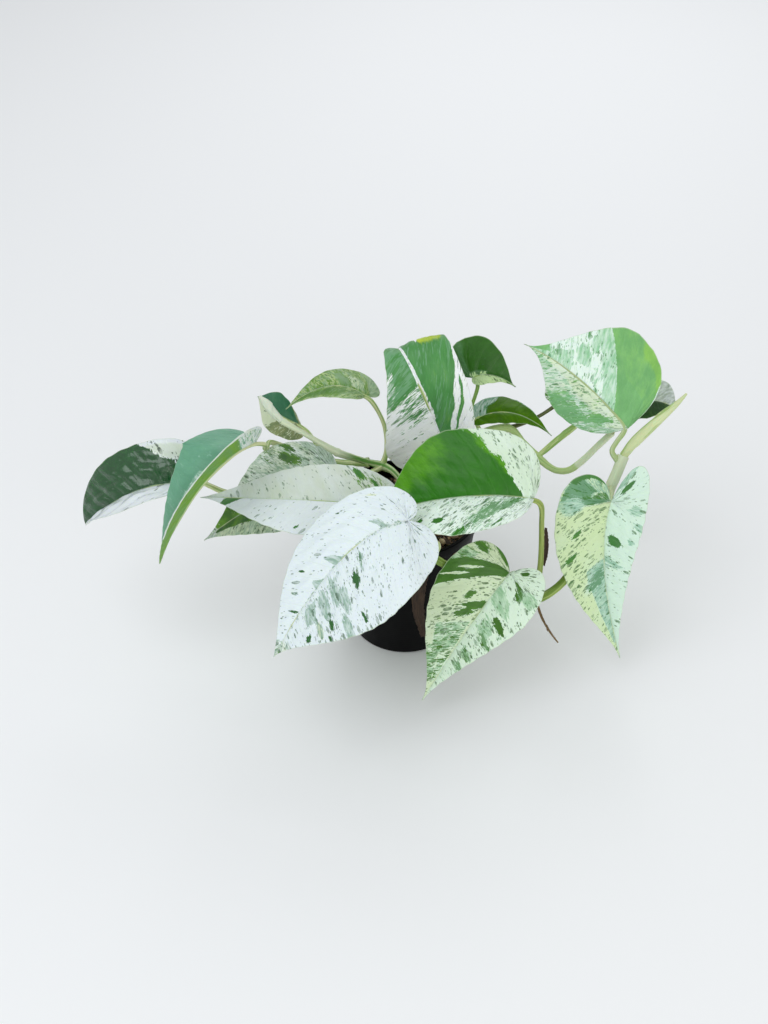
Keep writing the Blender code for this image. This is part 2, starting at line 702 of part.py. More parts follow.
def soil_height(x, y):
    """The uneven top of the soil."""
    return SOIL_TOP + SOIL_BUMP * (
        math.sin(x / 6.1 + 0.4) * math.cos(y / 7.3) + 0.5 * math.sin((x + 2 * y) / 5.2)
    )


def block(name, centre, size, spin, tilt, slot):
    """A bark chip: a box with its ends narrowed, turned and tilted."""
    points = []
    for x in (-1, 1):
        for y in (-1, 1):
            for z in (-1, 1):
                narrow = CHIP_NARROWING if x * y > 0 else 1.0
                p = np.array([x * size[0], y * size[1] * narrow, z * size[2]]) / 2
                p = (
                    p[0] * math.cos(tilt) - p[2] * math.sin(tilt), p[1],
                    p[0] * math.sin(tilt) + p[2] * math.cos(tilt),
                )
                points.append((
                    centre[0] + p[0] * math.cos(spin) - p[1] * math.sin(spin),
                    centre[1] + p[0] * math.sin(spin) + p[1] * math.cos(spin),
                    centre[2] + p[2],
                ))
    faces = [(0, 1, 3, 2), (4, 6, 7, 5), (0, 4, 5, 1), (2, 3, 7, 6), (0, 2, 6, 4), (1, 5, 7, 3)]
    return mesh_object(name, points, faces, slot)


def pebble(name, centre, radius, slot):
    made = bmesh.new()
    bmesh.ops.create_icosphere(made, subdivisions=1, radius=radius)
    stretch = np.array([1.0, 1.0, PEBBLE_FLATNESS])
    points = [np.array(centre) + stretch * np.array(vertex.co) for vertex in made.verts]
    faces = [tuple(v.index for v in face.verts) for face in made.faces]
    made.free()
    return mesh_object(name, points, faces, slot)


def soil():
    """The bark mix: a block that fills the pot, with chips and pebbles on top."""
    foot = POT_FLOOR + SOIL_GAP
    profile = [(0, foot), (inner_radius(foot) - SOIL_GAP, foot),
               (inner_radius(SOIL_TOP) - SOIL_GAP, SOIL_TOP)]
    edge = inner_radius(SOIL_TOP) - SOIL_GAP
    for k in range(1, SOIL_RINGS):
        profile.append((edge * (1 - k / SOIL_RINGS), SOIL_TOP))
    profile.append((0, SOIL_TOP))
    made = lathe("soil", profile, "soil")
    for vertex in made.data.vertices:
        x, y, z = (c / MM for c in vertex.co)
        if z > foot + 1 and math.hypot(x, y) < edge - 1:
            vertex.co.z = MM * soil_height(x, y)
    draw = random.Random(SOIL_SEED)
    loose = []
    for k in range(CHIP_COUNT + PEBBLE_COUNT):
        turn = draw.uniform(0, 2 * math.pi)
        reach = CHIP_SPREAD * math.sqrt(draw.random())
        x = reach * math.cos(turn)
        y = reach * math.sin(turn)
        centre = (x, y, soil_height(x, y) + LOOSE_LIFT)
        if k < CHIP_COUNT:
            size = [draw.uniform(*span) for span in (CHIP_LENGTH, CHIP_WIDTH, CHIP_DEPTH)]
            spin = draw.uniform(0, math.pi)
            tilt = draw.uniform(-CHIP_TILT, CHIP_TILT)
            loose.append(block("chip_%d" % k, centre, size, spin, tilt, "soil"))
        else:
            loose.append(pebble("pebble_%d" % k, centre, draw.uniform(*PEBBLE_RADIUS), "soil"))
    combine(made, loose, "UNION", "MANIFOLD")
    holes = [stem_hole(name + "_hole", rows) for name, rows in STEMS.items()]
    return combine(made, holes, "DIFFERENCE", "MANIFOLD")


def main():
    clear_scene()
    pot()
    soil()
    for name, rows in STEMS.items():
        stem(name, rows)
    skin = stem_skin()
    for name, rows in SHOOTS.items():
        tube(name, smooth_path(seated(rows, skin), SHOOT_STEP), STEM_SIDES, "new_leaf")
    for name, rows in ROOTS.items():
        tube(name, smooth_path(seated(rows, skin), ROOT_STEP), STALK_SIDES, "root")
    for name, spec in SHEATHS.items():
        sheath(name, spec)
    for name, spec in LEAVES.items():
        leaf(name, spec, skin)


main()
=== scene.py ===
# %% [markdown]
# A potted marble queen pothos, dressed for the studio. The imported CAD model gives
# every piece its place and its size, and this notebook lays a finer piece over each
# of its solids: marbled leaves with their veins, striped stems, furled new leaves,
# dry sheaths, bark mix, and the black nursery pot. Numbers are millimetres in the
# plant's own frame, with X to the right, Y away from the viewer and Z up from the
# surface that the pot stands on. Meshes are made in metres.

import json
import math
import random

import bmesh
import bpy
import numpy as np
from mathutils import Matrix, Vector, noise

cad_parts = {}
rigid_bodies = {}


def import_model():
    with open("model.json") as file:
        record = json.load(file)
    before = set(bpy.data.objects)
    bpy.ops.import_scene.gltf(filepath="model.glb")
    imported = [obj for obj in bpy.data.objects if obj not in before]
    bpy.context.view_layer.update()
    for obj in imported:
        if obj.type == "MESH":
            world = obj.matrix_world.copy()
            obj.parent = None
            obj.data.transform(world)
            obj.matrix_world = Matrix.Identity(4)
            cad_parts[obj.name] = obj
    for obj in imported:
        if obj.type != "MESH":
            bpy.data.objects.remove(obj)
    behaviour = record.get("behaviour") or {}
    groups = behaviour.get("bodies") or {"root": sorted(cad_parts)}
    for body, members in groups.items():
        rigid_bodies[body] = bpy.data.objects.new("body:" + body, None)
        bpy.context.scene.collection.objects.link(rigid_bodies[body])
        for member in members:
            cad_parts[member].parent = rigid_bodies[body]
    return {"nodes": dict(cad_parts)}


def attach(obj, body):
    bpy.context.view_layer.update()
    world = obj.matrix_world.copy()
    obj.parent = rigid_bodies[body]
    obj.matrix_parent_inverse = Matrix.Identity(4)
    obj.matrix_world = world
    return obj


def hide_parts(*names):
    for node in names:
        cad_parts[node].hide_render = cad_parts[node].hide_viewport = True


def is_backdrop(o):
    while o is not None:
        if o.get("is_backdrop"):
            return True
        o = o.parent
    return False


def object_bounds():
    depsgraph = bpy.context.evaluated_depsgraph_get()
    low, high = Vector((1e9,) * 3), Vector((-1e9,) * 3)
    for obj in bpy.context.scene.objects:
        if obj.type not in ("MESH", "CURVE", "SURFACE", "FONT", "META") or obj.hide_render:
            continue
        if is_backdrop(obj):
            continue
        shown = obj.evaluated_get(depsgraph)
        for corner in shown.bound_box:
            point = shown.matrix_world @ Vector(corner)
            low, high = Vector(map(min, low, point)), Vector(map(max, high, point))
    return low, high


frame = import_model()
cad_low, cad_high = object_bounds()
MM = 0.001
print("the frame has", len(frame["nodes"]), "solids and is",
      [round((b - a) / MM) for a, b in zip(cad_low, cad_high)], "mm each way")

# %% [markdown]
# The camera stands where the photographer stood: a little over a metre away, and
# looking down by 41 degrees, so that the leaves are seen from above and the pot from
# its side. A normal lens keeps the near leaves from swelling.

# %% The camera
CAMERA_PLACE = (-0.015, -0.7547, 0.7585)
CAMERA_TILT = 49.0
CAMERA_LENS = 50.0
CAMERA_SENSOR = 36.0


def placed(name, data):
    """A new object in the scene."""
    made = bpy.data.objects.new(name, data)
    bpy.context.scene.collection.objects.link(made)
    return made


camera = placed("camera", bpy.data.cameras.new("camera"))
camera.data.lens = CAMERA_LENS
camera.data.sensor_width = CAMERA_SENSOR
camera.location = CAMERA_PLACE
camera.rotation_euler = (math.radians(CAMERA_TILT), 0.0, 0.0)
bpy.context.scene.camera = camera
print("the camera looks down by", 90 - CAMERA_TILT, "degrees")

# %% [markdown]
# Variegated leaves are shown best by light from a large window: broad, soft and a
# little cool, with a weaker light from the other side so that the shaded faces keep
# their colour. Each light has a place, a side in metres, a power in watts and a
# colour, and it is aimed by turning its own minus Z at the plant.

# %% The studio
AIM = Vector((0.0, 0.0, 0.11))
LIGHTS = {
    "window": ((-0.7, -0.5, 1.5), 1.2, 8.5, (0.93, 0.97, 1.0)),
    "reflector": ((0.5, -1.5, 0.7), 1.2, 8.0, (1.0, 0.99, 0.96)),
    "back_light": ((0.3, 1.3, 1.1), 1.0, 6.0, (0.96, 0.98, 1.0)),
}
SKY_COLOUR = (0.97, 0.985, 1.0, 1.0)
SKY_STRENGTH = 0.55

for name, (place, side, power, colour) in LIGHTS.items():
    light = bpy.data.lights.new(name, "AREA")
    light.shape = "SQUARE"
    light.size = side
    light.energy = power
    light.color = colour
    made = placed(name, light)
    made.location = place
    made.rotation_euler = (AIM - Vector(place)).to_track_quat("-Z", "Y").to_euler()

world = bpy.data.worlds.new("studio")
world.use_nodes = True
sky = world.node_tree.nodes["Background"].inputs
sky["Color"].default_value = SKY_COLOUR
sky["Strength"].default_value = SKY_STRENGTH
bpy.context.scene.world = world
bpy.context.scene.view_settings.view_transform = "Standard"
print("the studio has", len(LIGHTS), "lights")

# %% [markdown]
# Node trees read badly when every node takes five lines, so one small class adds a
# node, sets it and wires it in a single call. Shader trees and geometry trees take
# the same calls. Colours are given as 0 to 255 values, as a colour picker shows them,
# and Blender needs them turned into linear light.

# %% Colours and nodes


def tone(red, green, blue):
    """A colour from 0 to 255 values, in linear light."""
    shares = [c / 255 for c in (red, green, blue)]
    linear = [s / 12.92 if s <= 0.04045 else ((s + 0.055) / 1.055) ** 2.4 for s in shares]
    return (*linear, 1.0)


class Nodes:
    """Adds nodes to one tree and wires them. Most calls give a node's first output."""

    def __init__(self, tree):
        self.tree = tree

    def wire(self, source, socket):
        self.tree.links.new(source, socket)

    def fed(self, made, inputs):
        """Sets each input of a node, or wires it where the value is a socket."""
        for key, value in inputs.items():
            if isinstance(value, bpy.types.NodeSocket):
                self.wire(value, made.inputs[key])
            else:
                made.inputs[key].default_value = value
        return made

    def add(self, kind, inputs=None, **settings):
        made = self.tree.nodes.new(kind)
        for key, value in settings.items():
            setattr(made, key, value)
        return self.fed(made, inputs or {})

    def first(self, kind, inputs=None, **settings):
        return self.add(kind, inputs, **settings).outputs[0]

    def group(self, tree, inputs):
        """The outputs of a placed node group, whose inputs are given by name."""
        kind = self.tree.bl_idname.replace("Tree", "Group")
        return self.add(kind, inputs, node_tree=tree).outputs

    def attribute(self, name):
        return self.add("ShaderNodeAttribute", attribute_name=name).outputs

    def math(self, operation, a, b=0.0, c=0.0):
        return self.first("ShaderNodeMath", {0: a, 1: b, 2: c}, operation=operation)

    def around(self, value, amount, base):
        """A 0 to 1 value turned into a swing to both sides of a base."""
        return self.math("MULTIPLY_ADD", self.math("SUBTRACT", value, 0.5), amount, base)

    def vector(self, operation, a, b):
        return self.first("ShaderNodeVectorMath", {0: a, 1: b}, operation=operation)

    def scaled(self, vector, factor):
        return self.first("ShaderNodeVectorMath", {0: vector, "Scale": factor}, operation="SCALE")

    def xyz(self, x, y, z):
        return self.first("ShaderNodeCombineXYZ", {0: x, 1: y, 2: z})

    def split(self, vector):
        return self.add("ShaderNodeSeparateXYZ", {0: vector}).outputs

    def step(self, value, low, high):
        """0 below low, 1 above high and smooth between."""
        ends = {0: value, 1: low, 2: high}
        return self.first("ShaderNodeMapRange", ends, interpolation_type="SMOOTHSTEP")

    def span(self, value, low, high):
        """A 0 to 1 value taken to low to high."""
        return self.first("ShaderNodeMapRange", {0: value, 3: low, 4: high})

    def mix(self, share, a, b, way="MIX"):
        """One colour over another."""
        made = self.add("ShaderNodeMix", {0: share, 6: a, 7: b}, data_type="RGBA", blend_type=way)
        return made.outputs[2]

    def shaded(self, colour, value):
        """A colour made darker or lighter by a value near one."""
        return self.mix(1.0, colour, self.xyz(value, value, value), "MULTIPLY")

    def noise(self, place, scale, detail=2.0, rough=0.5, swirl=0.0):
        return self.first("ShaderNodeTexNoise", {
            "Vector": place, "Scale": scale, "Detail": detail, "Roughness": rough, "Distortion": swirl,
        })

    def streaked(self, place, factors, detail=2.0, rough=0.5, swirl=0.0):
        """A noise read with its own factors for the map's X and Y."""
        return self.noise(self.vector("MULTIPLY", place, (*factors, 1.0)), 1.0, detail, rough, swirl)


def new_group(name, kind, inputs, outputs):
    """A node group, and what fills it in. An input has its number or its socket's kind."""
    tree = bpy.data.node_groups.new(name, kind)
    for label, value in inputs.items():
        given_kind = {float: "Float", int: "Int"}.get(type(value), value)
        made = tree.interface.new_socket(label, in_out="INPUT", socket_type="NodeSocket" + given_kind)
        if given_kind != value:
            made.default_value = value
    for label, made_kind in outputs.items():
        tree.interface.new_socket(label, in_out="OUTPUT", socket_type="NodeSocket" + made_kind)
    work = Nodes(tree)
    source = work.add("NodeGroupInput").outputs
    result = work.add("NodeGroupOutput").inputs
    return tree, work, source, result


print("helpers for node trees are ready")

# %% [markdown]
# Every finish is one Principled shader. Its colour and its roughness change over the
# surface, and so does the height that its relief is drawn from. What is the same all
# over is set on the shader's own sockets.

# %% Materials


def new_material(name, **steady):
    """An empty material with its shader wired to the output and its steady values set."""
    made = bpy.data.materials.new(name)
    made.use_nodes = True
    made.node_tree.nodes.clear()
    work = Nodes(made.node_tree)
    shader = work.add("ShaderNodeBsdfPrincipled")
    for key, value in steady.items():
        shader.inputs[key.replace("_", " ")].default_value = value
    work.add("ShaderNodeOutputMaterial", {0: shader.outputs[0]})
    return made, work, shader


def dress(work, shader, colour, rough, height, strength, depth):
    """Wires a shader's colour and roughness, and its relief of a strength and a depth."""
    relief = {"Strength": strength, "Distance": depth, "Height": height}
    work.fed(shader, {
        "Base Color": colour, "Roughness": rough, "Normal": work.first("ShaderNodeBump", relief),
    })


print("helpers for materials are ready")

# %% [markdown]
# The floor is only there to catch the plant's shadow. It is declared as stage, so
# that it isn't taken for a part of the plant.

# %% The floor
FLOOR_HALF = 3000.0
FLOOR_DROP = 0.3
FLOOR_COLOUR = tone(244, 245, 246)
FLOOR_ROUGH = 0.7


def plain_mesh(name, points, faces):
    """A mesh from points in millimetres."""
    mesh = bpy.data.meshes.new(name)
    mesh.from_pydata((np.array(points, float) * MM).tolist(), [], faces)
    return mesh


corners = [(x * FLOOR_HALF, y * FLOOR_HALF, -FLOOR_DROP) for x, y in ((-1, -1), (1, -1), (1, 1), (-1, 1))]
floor_mesh = plain_mesh("floor", corners, [(0, 1, 2, 3)])
floor = placed("floor", floor_mesh)
floor_finish, *_ = new_material("pale_floor", Base_Color=FLOOR_COLOUR, Roughness=FLOOR_ROUGH)
floor_mesh.materials.append(floor_finish)
floor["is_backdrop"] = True
print("the floor lies", FLOOR_DROP, "mm under the pot")

# %% [markdown]
# Marble queen is a chimera: each side vein carries cells that are green all through,
# green under a clear skin, which looks grey-green, or without any green. So the
# pattern follows the veins: broad sectors, ragged patches, and dark dashes that lie
# along them. The pattern is read in a map that runs across the veins in X and along
# them in Y, where a plain noise stretched in Y gives just these streaks. A patch is
# where a painted wash, shaken by such a noise, passes one half. A dash is one cell of
# a stretched Voronoi pattern, and a share says how many of the cells show.

# %% Frayed patches and dashes
PATCH_EDGE = 0.5
DASH_LEAST = 0.44
DASH_SOFT = 0.04
DASH_FRAY = (2.2, 0.9)


def ragged(work, wash, place, coarse, fine, amount, soft):
    """A mask with a frayed edge where a painted wash passes one half."""
    broad = work.streaked(place, coarse, 5.0, 0.62, 0.4)
    small = work.streaked(place, fine, 3.0, 0.6)
    both = work.math("MULTIPLY_ADD", small, 0.5, work.math("MULTIPLY", broad, 0.5))
    return work.step(work.around(both, amount, wash), PATCH_EDGE - soft, PATCH_EDGE + soft)


def dashes(work, place, stretch, size, share):
    """A mask of short dashes: the few cells of a stretched Voronoi that a share lets through."""
    spread = work.vector("MULTIPLY", place, (*stretch, 1.0))
    cells = work.add("ShaderNodeTexVoronoi", {"Vector": spread, "Scale": 1.0, "Randomness": 1.0})
    chance = work.add("ShaderNodeSeparateColor", {0: cells.outputs["Color"]}).outputs
    fray = work.streaked(place, DASH_FRAY, 2.0, 0.6)
    reach = work.math("MULTIPLY_ADD", fray, 0.5, cells.outputs["Distance"])
    limit = work.math("MULTIPLY_ADD", work.math("MULTIPLY", chance[1], chance[1]), size, DASH_LEAST)
    inside = work.step(work.math("SUBTRACT", limit, reach), -DASH_SOFT, DASH_SOFT)
    return work.math("MULTIPLY", inside, work.math("LESS_THAN", chance[0], share))


print("a dash reaches at least", DASH_LEAST, "of its cell")

# %% [markdown]
# The wash that is painted on the mesh says where the leaf is green (red channel),
# grey-green (green channel) or cream rather than white (blue channel). How thick the
# dashes lie comes with it, from the alpha channel. This cell finds where each colour
# lies. A second reading place, far off in the same noise, keeps the masks apart.

# %% Where the marbling's colours lie
OTHER_PLACE = (57.0, 31.0, 9.0)
FRAY = 1.9
GREEN_FRAY = ((0.30, 0.09), (1.5, 0.32))
GREY_FRAY = ((0.22, 0.08), (0.9, 0.25))
CREAM_SWING = 0.9
LIME_SWING = 1.2

marbling, work, given, result = new_group(
    "marbling", "ShaderNodeTree",
    {
        "Veins": "Vector", "Wash": "Color", "Seed": 0.0, "White": "Color", "Cream": "Color",
        "Grey": "Color", "Green": "Color", "Lime": "Color", "Dark": "Color", "Dashes": 0.2,
        "Dust": 0.2, "Ragged": 1.0, "Thick": 1.0, "Depth": 0.9,
    },
    {"Color": "Color", "Green": "Float", "Height": "Float"},
)
place = work.vector("ADD", given["Veins"], work.xyz(*[given["Seed"]] * 3))
other = work.vector("ADD", place, OTHER_PLACE)
wash = work.add("ShaderNodeSeparateColor", {0: given["Wash"]}).outputs
amount = work.math("MULTIPLY", given["Ragged"], FRAY)
green = ragged(work, wash[0], place, *GREEN_FRAY, amount, 0.02)
grey = ragged(work, wash[1], other, *GREY_FRAY, amount, 0.05)
cream = work.math("SUBTRACT", work.streaked(place, (0.07, 0.03), 3.0), 0.5)
cream = work.math("ADD", wash[2], work.math("MULTIPLY", cream, CREAM_SWING))
cream = work.step(cream, 0.1, 0.9)
mottle = work.streaked(other, (0.12, 0.08), 5.0, 0.65)
lime = work.step(work.around(mottle, LIME_SWING, wash[2]), 0.05, 0.95)
thin = work.streaked(other, (0.6, 0.16), 4.0, 0.6)
thin = work.span(work.step(thin, 0.3, 0.7), 0.3, 1.05)
crowd = work.step(work.streaked(place, (0.05, 0.025)), 0.25, 0.62)
crowd = work.math("MULTIPLY", crowd, given["Thick"])
long_share = work.math("MULTIPLY", given["Dashes"], crowd)
short_share = work.math("MULTIPLY", given["Dust"], crowd)
long_dashes = dashes(work, place, (0.42, 0.17), 0.40, long_share)
short_dashes = dashes(work, other, (0.85, 0.42), 0.32, short_share)
marks = work.math("MAXIMUM", long_dashes, short_dashes)
uneven = work.step(work.streaked(other, (0.5, 0.22)), 0.35, 0.65)
marks = work.math("MULTIPLY", marks, work.span(uneven, 0.45, 1.0))
print("the masks take", len(marbling.nodes), "nodes")

# %% [markdown]
# The colours are then laid over each other as in the leaf: white or cream at the
# bottom, grey-green over it where it isn't thin, the dashes, and the solid green with
# its own lime and dark mottling. Grey-green goes over the green too, partly the leaf's
# own and partly a painted sheen of reflected sky. A fine grain along the veins shades
# it all, and gives the relief its height together with broad soft blisters.

# %% The marbling's colours
FINE_GRAIN = (3.2, 0.35)

colour = work.mix(cream, given["White"], given["Cream"])
colour = work.mix(work.math("MULTIPLY", grey, thin), colour, given["Grey"])
colour = work.mix(work.math("MULTIPLY", marks, given["Depth"]), colour, given["Dark"])
leafy = work.mix(lime, given["Green"], given["Lime"])
leafy = work.mix(work.step(mottle, 0.35, 0.7), work.mix(0.35, leafy, given["Dark"]), leafy)
# Grey-green over the solid green: partly the leaf's own grey-green, partly a painted sheen of reflected sky.
leafy = work.mix(work.math("MULTIPLY", grey, 0.45), leafy, given["Grey"])
colour = work.mix(green, colour, leafy)
grain = work.streaked(place, FINE_GRAIN, 3.0, 0.6)
work.wire(work.shaded(colour, work.span(grain, 0.90, 1.10)), result["Color"])
work.wire(green, result["Green"])
blister = work.math("MULTIPLY", work.streaked(other, (0.35, 0.2), 3.0, 0.55), 0.45)
work.wire(work.math("MULTIPLY_ADD", grain, 0.05, blister), result["Height"])
print("the whole marbling takes", len(marbling.nodes), "nodes")

# %% [markdown]
# A leaf's side veins are shallow grooves that leave the midrib about every 9 mm. They
# are too fine for the mesh, so a second group draws them from the same map: a sawtooth
# across the veins, folded into a thin line. It gives both a line of colour and a
# groove, and so does the midrib, which lies where the map's Y is nought.

# %% The veins
VEIN_SWAY = 5.0
VEIN_HALF = 0.45
VEIN_FADE = (34.0, 4.0)
MIDRIB_CORE = 0.2
GROOVE_FACTOR = 4.0

veining, work, given, result = new_group(
    "veining", "ShaderNodeTree", {"Veins": "Vector", "Spacing": 9.0, "Midrib": 0.8},
    {"Line": "Float", "Midrib": "Float", "Height": "Float"},
)
axes = work.split(given["Veins"])
sway = work.streaked(given["Veins"], (0.08, 0.05))
turns = work.math("DIVIDE", work.around(sway, VEIN_SWAY, axes[0]), given["Spacing"])
fold = work.math("ABSOLUTE", work.math("SUBTRACT", work.math("FRACT", turns), 0.5))
narrow = work.math("DIVIDE", VEIN_HALF, given["Spacing"])
line = work.math("SUBTRACT", 1.0, work.step(fold, 0.0, narrow))
line = work.math("MULTIPLY", line, work.step(work.math("ABSOLUTE", axes[1]), *VEIN_FADE))
middle = work.step(work.math("ABSOLUTE", axes[1]), MIDRIB_CORE, given["Midrib"])
middle = work.math("SUBTRACT", 1.0, middle)
work.wire(line, result["Line"])
work.wire(middle, result["Midrib"])
dip = work.step(fold, 0.0, work.math("MULTIPLY", narrow, GROOVE_FACTOR))
dip = work.math("MULTIPLY_ADD", dip, 0.12, 0.0)
work.wire(work.math("SUBTRACT", dip, work.math("MULTIPLY", middle, 0.10)), result["Height"])
print("the veining has", len(veining.nodes), "nodes")

# %% [markdown]
# Each leaf has its own balance of white, cream, grey-green and green, so each gets its
# own material from one function. Its look gives what differs, and the plain values
# below stand for the rest. The steady numbers make a waxy skin that lets a little light
# through, as a thin leaf does. The under side is the same pattern seen through the
# leaf, so it is paler, greyer and more matt.

# %% The leaf finish
UNDER_TINT = tone(190, 205, 172)
VEIN_TINT = tone(196, 214, 184)
PLAIN_COLOURS = {
    "White": tone(228, 236, 238), "Cream": tone(220, 231, 190), "Grey": tone(150, 190, 170),
    "Green": tone(66, 128, 54), "Lime": tone(118, 168, 48), "Dark": tone(50, 100, 48),
}
PLAIN_LOOK = {
    "depth": 0.9, "ragged": 1.0, "streak": (1.0, 1.0), "midrib": 0.5, "under": 0.35,
    "matt": 0.34, "gloss": 0.26, "colours": {},
}
RIM_BAND = (0.985, 0.998)
RIM_TINT = 0.5
UNDER_MATT = 0.16
LEAF_RELIEF = 0.001
LEAF_BODY = {
    "Subsurface_Weight": 0.12, "Subsurface_Radius": (0.8, 1.0, 0.4), "Subsurface_Scale": 0.002,
    "Coat_Weight": 0.04, "Coat_Roughness": 0.22,
}


def leaf_finish(name, seed, given_look):
    """The material of one leaf."""
    look = {**PLAIN_LOOK, **given_look}
    made, work, shader = new_material(name, **LEAF_BODY, Specular_IOR_Level=look["gloss"])
    veins = work.first("ShaderNodeUVMap", uv_map="veins")
    wash = work.attribute("wash")
    share = work.split(work.attribute("place")["Vector"])
    marble = work.group(marbling, {
        "Veins": work.vector("MULTIPLY", veins, (*look["streak"], 1.0)), "Wash": wash["Color"],
        "Thick": wash["Alpha"], "Seed": seed, "Dashes": look["flecks"][0], "Dust": look["flecks"][1],
        "Depth": look["depth"], "Ragged": look["ragged"], **PLAIN_COLOURS, **look["colours"],
    })
    lines = work.group(veining, {"Veins": veins})
    seen = work.math("MULTIPLY", lines["Line"], work.span(marble["Green"], 0.2, 0.03))
    colour = work.mix(seen, marble["Color"], VEIN_TINT)
    colour = work.mix(work.math("MULTIPLY", lines["Midrib"], look["midrib"]), colour, VEIN_TINT)
    rim = work.math("MULTIPLY", work.step(share[1], *RIM_BAND), RIM_TINT)
    colour = work.mix(rim, colour, VEIN_TINT)
    colour = work.mix(work.math("MULTIPLY", share[2], look["under"]), colour, UNDER_TINT)
    patchy = work.streaked(veins, (0.3, 0.12), 3.0)
    rough = work.span(patchy, look["matt"] - 0.05, look["matt"] + 0.09)
    rough = work.math("MULTIPLY_ADD", share[2], UNDER_MATT, rough)
    height = work.math("ADD", marble["Height"], lines["Height"])
    dress(work, shader, colour, rough, height, 1.0, LEAF_RELIEF)
    return made


print("the leaf finish is ready")

# %% [markdown]
# Every leaf follows one rule, and its numbers are those that the CAD solids were made
# from. The midrib is a curve through three points, which carries a frame of three
# The flat outline of each half is two Bezier curves, lobe and flank, and
# each half is laid out from the midrib at its own angle, bending on its way to the
# margin. Points far apart make a solid that can be checked, and points close together
# make the leaf that is seen here.

# %% The rule of a leaf
WIDEST_AT = 0.31
FLANK_AT = 0.56
NOTCH = 0.3
TIP_DRAW = 0.5
VEIN_SLOPE = 0.6
VEIN_CURVE = 1.2
LOBE_CURVE = (2.0, 1.4)
BASE_CURVE = (0.5, 2.0)
HALF_PHASE = 1.4
LOBE_SHARE = 0.3
MARGIN_WOBBLE = 0.3
WOBBLE_PITCH = 11.0
FLANK_PULL = (0.45, 0.6)
TIP_PULL = (0.95, 0.25)
RIB_SAMPLES = 41
LEAST_BEND = 1e-6


def unit(v):
    return v / np.linalg.norm(v, axis=-1, keepdims=True)


def walked(points):
    """How far along a path each of its points lies."""
    steps = np.linalg.norm(np.diff(points, axis=0), axis=1)
    return np.concatenate([[0], np.cumsum(steps)])


def bezier(a, b, c, d, t):
    return (1 - t) ** 3 * a + 3 * t * (1 - t) ** 2 * b + 3 * t**2 * (1 - t) * c + t**3 * d


def of_half(value, right):
    """The left or right one of a pair, or the one value that both halves share."""
    return value[right] if isinstance(value, tuple) else value


def margin(spec, length, right, count):
    """The margin of one half of a heart-shaped blade, from the notch to the tip."""
    width = spec["half"][right]
    lobe = spec["lobe"][right]
    notch = spec.get("notch", NOTCH) * width
    draw = of_half(spec.get("tip_draw", TIP_DRAW), right)
    flank = of_half(spec.get("flank", FLANK_AT), right) * length
    widest = of_half(spec.get("widest", WIDEST_AT), right) * length
    near, far = LOBE_CURVE if lobe > 0 else BASE_CURVE
    lobe_rows = round(count * LOBE_SHARE)
    t = np.arange(1, lobe_rows + 1) / lobe_rows
    back = np.column_stack([
        bezier(0, notch, width, width, t),
        bezier(0, -near * lobe, -far * lobe, widest, t),
    ])
    t = np.arange(1, count - lobe_rows + 1) / (count - lobe_rows)
    front = np.column_stack([
        bezier(width, width, (FLANK_PULL[0] - FLANK_PULL[1] * draw) * width, 0, t),
        bezier(widest, flank, (TIP_PULL[0] - TIP_PULL[1] * draw) * length, length, t),
    ])
    return np.vstack([back, front])


def vein_feet(halves, length):
    """Where each side vein leaves the midrib, shared by the two halves of a blade."""
    drop = [half[:, 1] - VEIN_SLOPE * half[:, 0] for half in halves]
    return np.maximum.accumulate(np.clip((drop[0] + drop[1]) / 2, 0.0, length))


class Midrib:
    """The curve of a leaf's midrib, and the frames across it."""

    def __init__(self, spec):
        self.base, mid, self.tip = (np.array(spec[k], float) for k in ("base", "mid", "tip"))
        self.control = 2 * mid - (self.base + self.tip) / 2
        self.face = np.array(spec["face"], float)
        self.tip_face = np.array(spec.get("tip_face", spec["face"]), float)
        self.shares = np.linspace(0, 1, RIB_SAMPLES)
        self.distances = walked(self.point(self.shares[:, None]))
        self.length = self.distances[-1]

    def point(self, t):
        return (1 - t) ** 2 * self.base + 2 * t * (1 - t) * self.control + t**2 * self.tip

    def frames(self, y):
        """The points at distances y, with the directions across and up."""
        y = np.asarray(y, float)
        t = np.interp(y, self.distances, self.shares)[..., None]
        along = unit((1 - t) * (self.control - self.base) + t * (self.tip - self.control))
        face = (1 - t) * self.face + t * self.tip_face
        up = unit(face - along * (face * along).sum(-1, keepdims=True))
        centre = self.point(t) + along * np.minimum(0.0, y)[..., None]
        return centre, np.cross(along, up), up


def laid_out(spec, rib, x, y, right):
    """Where points of the flat half leaf come to lie."""
    centre, across, up = rib.frames(y)
    width = spec["half"][right]
    rise = math.radians(spec["rise"][right])
    bend = math.radians(spec["bend"][right]) or LEAST_BEND
    reach = x / width
    end = rise + bend * reach
    out = width / bend * (np.sin(end) - math.sin(rise))
    lift = width / bend * (math.cos(rise) - np.cos(end))
    height, count, phase = spec["wave"]
    turn = 2 * math.pi * count * y / rib.length + phase + HALF_PHASE * right
    lift = lift + height * reach**2 * np.sin(turn)
    side = 1.0 if right else -1.0
    return centre + (side * out)[..., None] * across + lift[..., None] * up


print("the rule of a leaf is ready")

# %% [markdown]
# These are the leaves, in the order of the CAD nodes that they stand for: the ends and
# the middle of the midrib, which way the upper face looks, and the sizes and angles of
# the two halves, left and right as seen along the midrib. Where the stalk joins the
# blade its points follow, from the blade down to the stem.

